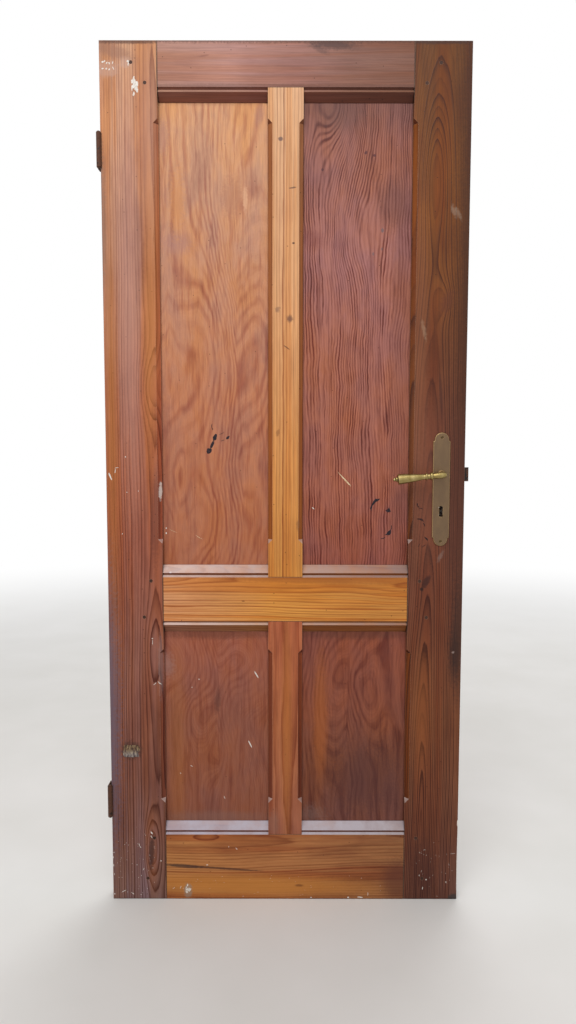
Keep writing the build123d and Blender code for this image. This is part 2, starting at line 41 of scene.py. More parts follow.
# Metres: the front faces of frame and panels, how far marks reach into each, half the opening,
# the joint lines, then the width of the pale worn and highlit edges, the reach of painted shade
# and grime in the corners, and the depth of the grain
FACE = -0.020
PANEL = -0.005
FACE_REACH = 0.02
PANEL_REACH = 0.006
OPEN_EDGE = 0.29
JOINT = "#24120b"
JOINT_HALF = 0.0014
ARRIS = 0.0013
CORNER = 0.010
GRAIN_RELIEF = 0.0004
SWELL_FALL = 0.37
VEE_FALL = 0.5
WOOD_SPECULAR = 0.22
NOISE_MIDDLE = (0.5, 0.5, 0.5)


def hex_colour(text):
    """An sRGB hex value as the linear colour that Blender works in."""
    parts = [int(text[i:i + 2], 16) / 255 for i in (1, 3, 5)]
    return (*[c / 12.92 if c <= 0.04045 else ((c + 0.055) / 1.055) ** 2.4 for c in parts], 1)


def add(tree, kind, *feeds, sockets=None, stops=None, **settings):
    """Add a node: its settings, then its inputs in order, each a value, a node or an output."""
    made = tree.nodes.new(kind)
    for key, value in settings.items():
        setattr(made, key, value)
    if stops:
        ramp = made.color_ramp
        while len(ramp.elements) < len(stops):
            ramp.elements.new(0.5)
        for element, (place, colour) in zip(ramp.elements, stops):
            element.position = place
            element.color = hex_colour(colour) if isinstance(colour, str) else (colour,) * 3 + (1,)
    open_inputs = [s for s in made.inputs if s.enabled]
    pairs = list(zip(open_inputs, feeds))
    pairs += [(made.inputs[key], value) for key, value in (sockets or {}).items()]
    for socket, value in pairs:
        if isinstance(value, bpy.types.Node):
            value = next(s for s in value.outputs if s.enabled)
        if isinstance(value, bpy.types.NodeSocket):
            tree.links.new(value, socket)
        elif value is not None:
            socket.default_value = value
    return made


def new_material(name):
    """A material with an empty tree and its output node."""
    material = bpy.data.materials.new(name)
    material.use_nodes = True
    material.node_tree.nodes.clear()
    return material, material.node_tree


def drawn_noise(tree, place, offset, stretch, *settings):
    """Noise stretched by axis. The settings are its scale, detail and roughness."""
    laid = add(tree, "ShaderNodeMapping", place, offset, (0, 0, 0), stretch)
    return add(tree, "ShaderNodeTexNoise", laid, *settings)


def mound(tree, place, centre, radii, base):
    """A soft hill that is 1 at its centre, with the place seen from that centre."""
    near = add(tree, "ShaderNodeMapping", place, centre, (0, 0, 0), radii, vector_type="TEXTURE")
    away = add(tree, "ShaderNodeVectorMath", near, near, operation="DOT_PRODUCT")
    return near, add(tree, "ShaderNodeMath", base, away, operation="POWER")


def surfaced(tree, colour, gloss, relief, metallic=0, specular=0.5):
    """Close a material with its surface."""
    skin = add(tree, "ShaderNodeBsdfPrincipled",
               sockets={"Base Color": colour, "Metallic": metallic, "Roughness": gloss,
                        "Specular IOR Level": specular, "Normal": relief})
    add(tree, "ShaderNodeOutputMaterial", skin)


def tinted(tree, share, colour, tint):
    """Multiply a colour by a tint, by a share that may be a number or a pattern."""
    deeper = add(tree, "ShaderNodeMix", 1, colour, hex_colour(tint), data_type="RGBA",
                 blend_type="MULTIPLY")
    return add(tree, "ShaderNodeMix", share, colour, deeper, data_type="RGBA")


def marked(tree, place, ragged, colour, marks, level, reach):
    """Lay stains, knots and worn paint over a colour, and painted shadows and a painted reflection
    too: ragged ellipsoids at their real places.

    A mark is its centre, its radii, its turn in degrees, colour, strength, raggedness, softness.
    A centre of two numbers lies on the front surface, which stands at level."""
    for centre, radii, turn, tint, strength, rag, soft in marks:
        if len(centre) == 2:
            centre = (centre[0], level, centre[1])
            radii = (radii[0], reach, radii[1])
        near = add(tree, "ShaderNodeMapping", place, centre, (0, math.radians(turn), 0), radii,
                   vector_type="TEXTURE")
        away = add(tree, "ShaderNodeVectorMath", near, operation="LENGTH")
        edge = add(tree, "ShaderNodeMath", ragged, rag, away, operation="MULTIPLY_ADD")
        mask = add(tree, "ShaderNodeMapRange", edge, 1 + soft, 1 - soft, 0, strength,
                   interpolation_type="SMOOTHSTEP")
        colour = add(tree, "ShaderNodeMix", mask, colour, hex_colour(tint), data_type="RGBA")
    return colour


def flecked(tree, place, colour, tint, cell, size, share):
    """Scatter small specks: one in each cell, kept in a share of the cells."""
    flat = add(tree, "ShaderNodeMapping", place, (0, 0, 0), (math.pi / 2, 0, 0), (1, 1, 1))
    spots = add(tree, "ShaderNodeTexVoronoi", flat, 1 / cell, voronoi_dimensions="2D")
    dot = add(tree, "ShaderNodeMapRange", spots.outputs["Distance"], size / cell,
              0.5 * size / cell, 0, 0.75)
    pick = add(tree, "ShaderNodeSeparateColor", spots.outputs["Color"])
    kept = add(tree, "ShaderNodeMath", pick, share, operation="LESS_THAN")
    dot = add(tree, "ShaderNodeMath", dot, kept, operation="MULTIPLY")
    return add(tree, "ShaderNodeMix", dot, colour, hex_colour(tint), data_type="RGBA")


def finished(tree, where, colour, height, gloss, corner_shade_and_dirt, dust_and_painted_light=None):
    """Close a wood material: pale worn arrises with a painted highlight, painted shade and grime
    in the corners, painted shade on undersides, a dusting with painted light from above on ledges,
    an oiled sheen.

    The last argument gives the colour of that dusting and top light at the left and at the right,
    its strength, and the tint of the painted shade on undersides."""
    facing = add(tree, "ShaderNodeSeparateXYZ", where.outputs["Normal"])
    eased = add(tree, "ShaderNodeBevel", ARRIS, samples=4)
    flat = add(tree, "ShaderNodeNewGeometry").outputs["Normal"]
    turned = add(tree, "ShaderNodeVectorMath", eased, flat, operation="DOT_PRODUCT")
    # Edges worn pale, and the same pale paints a highlight along them
    edge_wear_and_highlight = add(tree, "ShaderNodeMapRange", turned.outputs["Value"], 0.995, 0.93, 0, 0.4)
    colour = add(tree, "ShaderNodeMix", edge_wear_and_highlight, colour, hex_colour("#c9a184"), data_type="RGBA")
    # Painted shade, with some grime, darkens the corners and recesses
    hollow = add(tree, "ShaderNodeAmbientOcclusion", samples=8, sockets={"Distance": CORNER})
    hollow = add(tree, "ShaderNodeMapRange", hollow.outputs["AO"], 0.2, 0.74, corner_shade_and_dirt, 0)
    colour = add(tree, "ShaderNodeMix", hollow, colour, hex_colour("#1a0c07"), data_type="RGBA")
    if dust_and_painted_light:
        # Painted shade: faces turned downward are tinted darker
        painted_underside_shade = add(tree, "ShaderNodeMapRange", facing.outputs["Z"], -0.25, -0.45, 0, 0.85)
        colour = tinted(tree, painted_underside_shade, colour, dust_and_painted_light[3])
        # Faces turned upward take a dusting, and painted light from above, in one pale colour that
        # runs from left to right
        along = add(tree, "ShaderNodeSeparateXYZ", where.outputs["Object"]).outputs["X"]
        along = add(tree, "ShaderNodeMapRange", along, -OPEN_EDGE, OPEN_EDGE, 0, 1)
        dust_and_top_light_colour = add(tree, "ShaderNodeMix", along, hex_colour(dust_and_painted_light[0]), hex_colour(dust_and_painted_light[1]),
                    data_type="RGBA")
        patchy_dust_and_top_light = add(tree, "ShaderNodeTexNoise", where.outputs["Object"], 16, 4, 0.65)
        patchy_dust_and_top_light = add(tree, "ShaderNodeMapRange", patchy_dust_and_top_light, 0.38, 0.6, dust_and_painted_light[2] - 0.2, dust_and_painted_light[2] + 0.1)
        upward = add(tree, "ShaderNodeMapRange", facing.outputs["Z"], 0.3, 0.5, 0, 1)
        dust_and_top_light = add(tree, "ShaderNodeMath", upward, patchy_dust_and_top_light, operation="MULTIPLY")
        colour = add(tree, "ShaderNodeMix", dust_and_top_light, colour, dust_and_top_light_colour, data_type="RGBA")
    relief = add(tree, "ShaderNodeBump", 0.35, GRAIN_RELIEF,
                 sockets={"Height": height, "Normal": eased})
    surfaced(tree, colour, gloss, relief, specular=WOOD_SPECULAR)


def oiled_pine(name, seed, tones, span, late, second, pith, lean=(0, 0), across=False,
               ring=0.0055, sway=0.02, swells=(), contrast=(0.9, 0.9), second_share=0.6,
               cloud=0.7, ruffle=0.8, marks=(), dust_and_painted_light=("#cdbab4", "#cdbab4", 0.45, "#9a7462"),
               chamfer_tint_and_shade=("#f2cdbc", 0.6)):
    """Old oiled softwood, ringed about the pith line that the board was cut near.

    tones run along span; second tints the broad bands, and late tints the dark rings, whose
    contrast is given at both ends of the span."""
    material, tree = new_material(name)
    where = add(tree, "ShaderNodeTexCoord")
    place = where.outputs["Object"]
    lay = add(tree, "ShaderNodeMapping", place, (0, 0, seed), (0, math.pi / 2 if across else 0, 0))
    drift = drawn_noise(tree, lay, (seed, 0, 0), (1, 1, 0.3), 5, 2, 0.45)
    drift = add(tree, "ShaderNodeVectorMath", drift.outputs["Color"], NOISE_MIDDLE,
                operation="SUBTRACT")
    drift = add(tree, "ShaderNodeVectorMath", drift, (sway, sway, 0), lay,
                operation="MULTIPLY_ADD")
    from_pith = add(tree, "ShaderNodeMapping", drift, (*pith, seed), (*lean, 0), (1, 1, 1),
                    vector_type="TEXTURE")
    from_pith = add(tree, "ShaderNodeVectorMath", from_pith, (1, 1, 0), operation="MULTIPLY")
    reach = add(tree, "ShaderNodeVectorMath", from_pith, operation="LENGTH")
    for centre, radii, height in swells:
        _, fall = mound(tree, place, centre, radii, SWELL_FALL)
        reach = add(tree, "ShaderNodeMath", fall, -height, reach, operation="MULTIPLY_ADD")

    # Rings differ in width and darkness, and wander a little along the board
    wander = drawn_noise(tree, lay, (0, seed, 0), (1, 1, 0.08), 60, 3, 0.6)
    years = add(tree, "ShaderNodeTexNoise", reach, 70, 1, 0.5, noise_dimensions="1D")
    count = add(tree, "ShaderNodeMath", reach, 1 / ring, years, operation="MULTIPLY_ADD")
    count = add(tree, "ShaderNodeMath", wander, ruffle, count, operation="MULTIPLY_ADD")
    growth = add(tree, "ShaderNodeMath", count, operation="FRACT")
    late_wood = add(tree, "ShaderNodeValToRGB", growth,
                    stops=[(0, 0.0), (0.42, 0.08), (0.76, 0.6), (0.91, 1.0), (1.0, 0.0)])
    year = add(tree, "ShaderNodeMath", count, operation="FLOOR")
    lean_year = add(tree, "ShaderNodeTexWhiteNoise", year, noise_dimensions="1D")
    lean_year = add(tree, "ShaderNodeMath", lean_year, 1.6, operation="POWER")
    lean_year = add(tree, "ShaderNodeMapRange", lean_year, 0, 1, 0.3, 1)
    late_mask = add(tree, "ShaderNodeMath", late_wood, lean_year, operation="MULTIPLY")
    share = add(tree, "ShaderNodeSeparateXYZ", place).outputs["X" if across else "Z"]
    share = add(tree, "ShaderNodeMapRange", share, span[0], span[1], 0, 1)
    depth = add(tree, "ShaderNodeMapRange", share, 0, 1, *contrast)
    late_mask = add(tree, "ShaderNodeMath", late_mask, depth, operation="MULTIPLY")

    # Base tone along the board, bands that follow the rings, streaks, and the fibre itself
    tone = add(tree, "ShaderNodeValToRGB", share, stops=tones)
    streaks = drawn_noise(tree, lay, (seed, seed, 0), (1, 1, 0.06), 28, 3, 0.55)
    bands = add(tree, "ShaderNodeTexNoise", reach, 42, 2, 0.5, noise_dimensions="1D")
    bands = add(tree, "ShaderNodeMath", bands, streaks, operation="ADD")
    bands = add(tree, "ShaderNodeMapRange", bands, 0.9, 1.12, 0, second_share,
                interpolation_type="SMOOTHSTEP")
    tone = tinted(tree, bands, tone, second)
    # Mauve-grey clouds over the tone: a painted sheen of reflected light
    painted_sheen_cloud = drawn_noise(tree, lay, (seed, 0, seed), (1, 1, 0.3), 20, 4, 0.6)
    painted_sheen_cloud = add(tree, "ShaderNodeMapRange", painted_sheen_cloud, 0.42, 0.68, 0, cloud)
    tone = tinted(tree, painted_sheen_cloud, tone, "#d2bfc4")
    colour = tinted(tree, late_mask, tone, late)
    fibre = drawn_noise(tree, lay, (0, 0, 0), (1, 1, 0.025), 380, 3, 0.65)
    fibre_tone = add(tree, "ShaderNodeValToRGB", fibre, stops=[(0.3, 0.66), (0.68, 1.0)])
    colour = add(tree, "ShaderNodeMix", 0.85, colour, fibre_tone, data_type="RGBA",
                 blend_type="MULTIPLY")

    # Chamfers were planed clean and took the oil in their own way, and their tint also paints the
    # shade that falls on them, turned sideways
    facing = add(tree, "ShaderNodeSeparateXYZ", where.outputs["Normal"])
    sideways_chamfer_shade = add(tree, "ShaderNodeMath", facing.outputs["X"], operation="ABSOLUTE")
    sideways_chamfer_shade = add(tree, "ShaderNodeMath", sideways_chamfer_shade, facing.outputs["Y"], operation="MULTIPLY")
    sideways_chamfer_shade = add(tree, "ShaderNodeMapRange", sideways_chamfer_shade, -0.2, -0.4, 0, chamfer_tint_and_shade[1])
    colour = tinted(tree, sideways_chamfer_shade, colour, chamfer_tint_and_shade[0])

    # Specks, then the marks of this board
    colour = flecked(tree, place, colour, "#2b130b", cell=0.031, size=0.0015, share=0.16)
    rough_edge = add(tree, "ShaderNodeTexNoise", place, 150, 3, 0.65)
    rough_edge = add(tree, "ShaderNodeMath", rough_edge, 0.5, operation="SUBTRACT")
    colour = marked(tree, place, rough_edge, colour, marks, FACE, FACE_REACH)
    height = add(tree, "ShaderNodeMath", fibre, 0.5, late_mask, operation="MULTIPLY_ADD")
    sheen = add(tree, "ShaderNodeMapRange", streaks, 0.3, 0.7, 0.35, 0.52)
    finished(tree, where, colour, height, sheen, corner_shade_and_dirt=0.95, dust_and_painted_light=dust_and_painted_light)
    return material


def dress(material, *names):
    """Give CAD pieces their finish."""
    for name in names:
        for slot in nodes[name].material_slots:
            slot.material = material


def joint_line(centre, radii):
    """The dark line where two boards meet, as a mark."""
    return centre, radii, 0, JOINT, 0.9, 0.25, 0.35


def shoulder_lines(x):
    """The joint lines where the three rails meet a stile."""
    return [joint_line((x, 0, z), (JOINT_HALF, 1, half))
            for z, half in ((1.946, 0.066), (0.7425, 0.083), (0.08, 0.085))]


dress(oiled_pine(
    "oiled_pitch_pine_hinge_stile", 1.3, span=(0, 2.01), late="#a07a68", second="#ffdc98",
    # Its tones lighten toward the top: painted light from above, over the board's own colour
    tones=[(0, "#8a6d70"), (0.15, "#8c5a4b"), (0.3, "#9b6454"), (0.45, "#a8624a"),
           (0.6, "#b8745a"), (0.78, "#c0886d"), (0.9, "#d09876"), (1, "#ca9672")],
    pith=(-0.308, 0.022), lean=(0.004, 0.004), sway=0.022, contrast=(1.7, 0.85),
    swells=[((-0.305, 0, 1.24), (0.03, 1, 0.07), 0.016),
            ((-0.325, 0, 0.13), (0.02, 1, 0.075), 0.02),
            ((-0.31, 0, 0.62), (0.025, 1, 0.09), 0.012)],
    marks=[
        ((-0.425, 0.46), (0.026, 0.30), 0, "#645866", 0.8, 2.2, 0.7),
        ((-0.423, 1.62), (0.012, 0.16), 0, "#6b625f", 0.5, 1.8, 0.5),
        ((-0.405, 1.25), (0.013, 0.45), 0, "#b07030", 0.4, 1.0, 0.9),
        # A painted reflection: a greyish-pink sheen down the middle of the stile
        ((-0.362, 1.40), (0.021, 0.33), 0, "#b5887c", 0.42, 0.8, 1.0),
        ((-0.314, 1.79), (0.016, 0.17), 0, "#ab7660", 0.5, 1.0, 0.9),
        ((-0.312, 1.38), (0.014, 0.26), 1, "#c07a3a", 0.45, 1.0, 0.9),
        ((-0.395, 1.99), (0.05, 0.014), 20, "#8a5f4c", 0.6, 1.2, 0.5),
        ((-0.400, 1.948), (0.022, 0.017), 0, "#b8978a", 0.4, 1.5, 0.4),
        ((-0.360, 1.962), (0.012, 0.012), 0, "#b8978a", 0.4, 1.5, 0.4),
        ((-0.325, 0.12), (0.013, 0.085), 0, "#9a5428", 0.35, 0.5, 0.6),
        ((-0.325, 0.118), (0.0062, 0.044), 3, "#35201f", 0.75, 1.3, 0.5),
        ((-0.305, 0.93), (0.011, 0.11), 2, "#4d2724", 0.45, 1.2, 0.5),
        ((-0.294, 1.000), (0.0035, 0.021), 0, "#cfc3ba", 0.85, 1.8, 0.3),
        ((-0.297, 0.58), (0.006, 0.07), 0, "#8d7674", 0.4, 1.6, 0.5),
        ((-0.371, 0.374), (0.0235, 0.0215), 0, "#3f2a22", 0.65, 1.6, 0.4),
        ((-0.35, 2.008), (0.1, 0.005), 0, "#4d2c20", 0.8, 1.6, 0.5),
        *shoulder_lines(-OPEN_EDGE),
    ]), "hinge_stile")


# The lock stile: a flat-sawn board of the same wood, browner, whose pith line comes out of its
# face at the foot, so the rings climb it as nested arches, round at the top and sharp low down.
# Its outer edge is dark with handling. It carries the lock, the plates and the levers.
dress(oiled_pine(
    "oiled_pitch_pine_lock_stile", 7.9, span=(0, 2.01), late="#85604e", second="#f0c088",
    tones=[(0, "#7a5042"), (0.08, "#7f4d36"), (0.22, "#864f30"), (0.38, "#7a452f"),
           (0.58, "#77442e"), (0.7, "#794420"), (0.82, "#834a15"), (1, "#6d3e12")],
    pith=(0.325, -0.023), lean=(-0.038, 0.013), ring=0.0038, sway=0.022, contrast=(2.0, 0.95),
    swells=[((0.340, 0, 1.74), (0.032, 1, 0.16), 0.020),
            ((0.365, 0, 1.44), (0.022, 1, 0.04), 0.008)],
    ruffle=0.6, second_share=0.5, chamfer_tint_and_shade=("#f2d850", 0.95),
    marks=[
        ((0.293, -0.0165, 1.70), (0.006, 0.006, 0.18), 0, "#8a4a18", 0.6, 0.4, 0.4),
        ((0.428, 1.56), (0.033, 0.66), 0, "#371a0b", 0.86, 1.0, 0.9),
        ((0.311, 1.30), (0.016, 0.34), 0, "#a3684a", 0.25, 1.0, 0.9),
        ((0.405, 0.95), (0.03, 0.18), 0, "#4c2a20", 0.45, 1.0, 0.6),
        ((0.334, 1.0), (0.026, 0.15), 0, "#885440", 0.4, 1.0, 0.9),
        ((0.325, 0.47), (0.022, 0.12), 0, "#8f5228", 0.45, 1.0, 0.9),
        ((0.409, 0.66), (0.014, 0.13), 0, "#33201b", 0.65, 1.2, 0.7),
        ((0.403, 0.61), (0.013, 0.055), 0, "#2e1c18", 0.65, 1.2, 0.8),
        ((0.400, 0.615), (0.0035, 0.0022), -20, "#b39c92", 0.5, 2.4, 0.5),
        ((0.371, 1.435), (0.012, 0.026), 20, "#5c2e1c", 0.55, 2.4, 0.6),
        ((0.319, 1.372), (0.004, 0.020), -12, "#a3866c", 0.35, 2.4, 0.6),
        ((0.383, 1.640), (0.0045, 0.013), -20, "#a08a78", 0.34, 2.6, 0.6),
        ((0.394, 1.634), (0.0040, 0.014), -26, "#a08a78", 0.30, 2.6, 0.6),
        ((0.366, 0.845), (0.004, 0.014), 25, "#8d7a72", 0.3, 2.2, 0.5),
        ((0.334, 0.785), (0.007, 0.016), 25, "#2b1414", 0.7, 1.4, 0.4),
        ((0.323, 0.767), (0.004, 0.004), 0, "#1d0e0c", 0.8, 1.2, 0.4),
        ((0.362, 1.22), (0.004, 0.05), -4, "#3a1c18", 0.5, 1.2, 0.5),
        ((0.412, 0.003), (0.013, 0.010), 0, "#3d3532", 0.9, 0.9, 0.3),
        ((0.335, 0.06), (0.03, 0.09), 0, "#3f1f1a", 0.5, 1.4, 0.6),
        ((0.35, 2.008), (0.1, 0.005), 0, "#3a2018", 0.8, 1.6, 0.5),
        *shoulder_lines(OPEN_EDGE),
    ]), "lock_stile")


# The three rails: cross boards with tenons right through the stiles and the moulding run on
# their panel edges. The top one is brown and close grained, the lock rail bright orange pine,
# the bottom one redder with a yellow sapwood band. Dust, with painted light from above, lies
# thickest on the two lower mouldings.
def rail_ends(z):
    """The joint lines at both ends of a rail."""
    return [joint_line((x, 0, z), (JOINT_HALF, 1, 5)) for x in (-OPEN_EDGE, OPEN_EDGE)]


dress(oiled_pine(
    "oiled_pitch_pine_top_rail", 13.1, span=(-0.29, 0.29), across=True, late="#cdb0a4",
    second="#f6dcb8", tones=[(0, "#b38371"), (0.3, "#b4847a"), (0.55, "#9e6e63"),
                             (0.75, "#8a5f51"), (1, "#7d5343")],
    pith=(2.2, 0.05), ring=0.005, sway=0.03, contrast=(0.4, 0.4), cloud=0.4,
    dust_and_painted_light=("#ae866c", "#7e5c48", 0.4, "#956344"),
    marks=[
        ((0.106, 2.002), (0.05, 0.010), 4, "#3d2826", 0.75, 1.4, 0.6),
        ((0.075, 1.992), (0.02, 0.006), 25, "#3d2826", 0.45, 1.4, 0.6),
        ((-0.185, 1.977), (0.012, 0.0018), -8, "#7a4a40", 0.5, 1.6, 0.5),
        ((0, 2.012), (0.6, 0.007), 0, "#4a2d25", 0.7, 1.8, 0.5),
        # A painted shadow line along the foot of the face, where it turns into the moulding
        ((0, 1.912), (0.6, 0.004), 0, "#5a362b", 0.45, 1.8, 0.5),
        *rail_ends(1.9),
    ]), "top_rail")
dress(oiled_pine(
    "oiled_pitch_pine_lock_rail", 21.7, span=(-0.29, 0.29), across=True, late="#b07e56",
    second="#f0c878", tones=[(0, "#e2a06e"), (0.45, "#e29b46"), (1, "#d08c42")],
    pith=(0.78, 0.012), lean=(0.0, 0.02), ring=0.0048, sway=0.05, contrast=(1.1, 1.0), cloud=0.35,
    dust_and_painted_light=("#d4c0bc", "#88726e", 0.72, "#8e7f9a"),
    marks=[
        ((0.06, 0.792), (0.3, 0.010), 1, "#8c4c22", 0.5, 1.0, 0.6),
        ((-0.10, 0.738), (0.004, 0.0015), 0, "#6b3516", 0.7, 1.5, 0.4),
        ((-0.272, 0, 0.806), (0.003, 1, 0.0022), 0, "#efe8e0", 0.95, 0.8, 0.3),
        *rail_ends(0.7),
    ]), "lock_rail")
dress(oiled_pine(
    "oiled_pitch_pine_bottom_rail", 34.4, span=(-0.29, 0.29), across=True, late="#a87558",
    second="#d8a080", tones=[(0, "#c08048"), (0.5, "#bc7c4a"), (1, "#a26d44")],
    pith=(0.155, 0.02), ring=0.0062, sway=0.045, contrast=(1, 1),
    dust_and_painted_light=("#b6aebb", "#b1a7ac", 0.88, "#9a7462"),
    swells=[((-0.19, 0, 0.163), (0.036, 1, 0.014), 0.008)],
    marks=[
        ((-0.09, 0.034), (0.26, 0.024), 1, "#bd7a34", 0.75, 0.6, 0.7),
        ((-0.245, 0.083), (0.05, 0.0042), 4, "#3a2a26", 0.8, 1.0, 0.4),
        ((-0.150, 0.077), (0.09, 0.0026), 4, "#4a2c22", 0.8, 1.0, 0.4),
        ((-0.237, 0.02), (0.0095, 0.018), 0, "#8d8478", 0.55, 1.6, 0.3),
        ((0.035, 0.034), (0.010, 0.003), 0, "#5a2c1a", 0.6, 1.2, 0.5),
        ((0.275, 0.045), (0.035, 0.05), 0, "#5a3026", 0.6, 1.0, 0.6),
        ((0.137, 0, 0.183), (0.0022, 1, 0.0075), 0, "#f0eae2", 0.95, 0.5, 0.25),
        *rail_ends(0.1),
    ]), "bottom_rail")


# The two muntins: short uprights between the panels, tenoned into the rails. The upper one is
# quarter sawn, so straight dark lines about 8 mm apart run down it; the lower one is plainer.
dress(oiled_pine(
    "quarter_sawn_pine_upper_muntin", 41.0, span=(0.79, 1.91), late="#ab8262", second="#fbe0b4",
    tones=[(0, "#d89243"), (0.3, "#e09c5c"), (0.6, "#e4aa78"), (1, "#e0ad82")],
    pith=(0.31, 0.09), ring=0.0078, sway=0.008, contrast=(1.1, 1.1), second_share=0.5, cloud=0.35,
    chamfer_tint_and_shade=("#b69a84", 0.95),
    marks=[
        ((-0.012, 1.797), (0.0055, 0.0045), 0, "#6d5148", 0.9, 0.9, 0.3),
        ((-0.019, 1.418), (0.006, 0.006), 0, "#7b5a48", 0.6, 2.4, 0.5),
        ((0.010, 1.397), (0.0065, 0.0075), 0, "#6a4638", 0.8, 1.8, 0.5),
        ((0.018, 1.567), (0.003, 0.0022), 0, "#4c2f22", 0.9, 0.8, 0.3),
        ((0.002, 1.332), (0.009, 0.0012), 35, "#5c3a2a", 0.8, 1.4, 0.3),
        ((0.016, 1.69), (0.009, 0.0018), -8, "#5c3f33", 0.8, 1.8, 0.3),
        ((-0.018, 1.135), (0.004, 0.008), 10, "#8a5a34", 0.6, 1.8, 0.4),
        ((0.03, 0.92), (0.004, 0.012), 0, "#8a5a34", 0.6, 1.8, 0.4),
        joint_line((0, 0, 0.795), (1, 1, 0.0012)),
        joint_line((0, 0, 1.91), (1, 1, 0.0012)),
    ]), "upper_muntin")
dress(oiled_pine(
    "oiled_pitch_pine_lower_muntin", 55.2, span=(0.16, 0.69), late="#b98a6c", second="#e0b088",
    tones=[(0, "#a8664c"), (0.5, "#bf7348"), (1, "#c06e48")],
    pith=(0.01, 0.06), ring=0.008, sway=0.02, contrast=(1.3, 1.1), chamfer_tint_and_shade=("#b69a84", 0.9),
    marks=[
        ((0.004, 0.42), (0.010, 0.24), 0, "#bb7432", 0.4, 0.9, 0.9),
        ((-0.034, 0.42), (0.006, 0.20), 0, "#6e3220", 0.45, 1.0, 0.6),
        ((-0.028, 0.19), (0.012, 0.03), 0, "#8d6a5c", 0.4, 1.2, 0.6),
        joint_line((0, 0, 0.69), (1, 1, 0.0012)),
        joint_line((0, 0, 0.163), (1, 1, 0.0012)),
    ]), "lower_muntin")


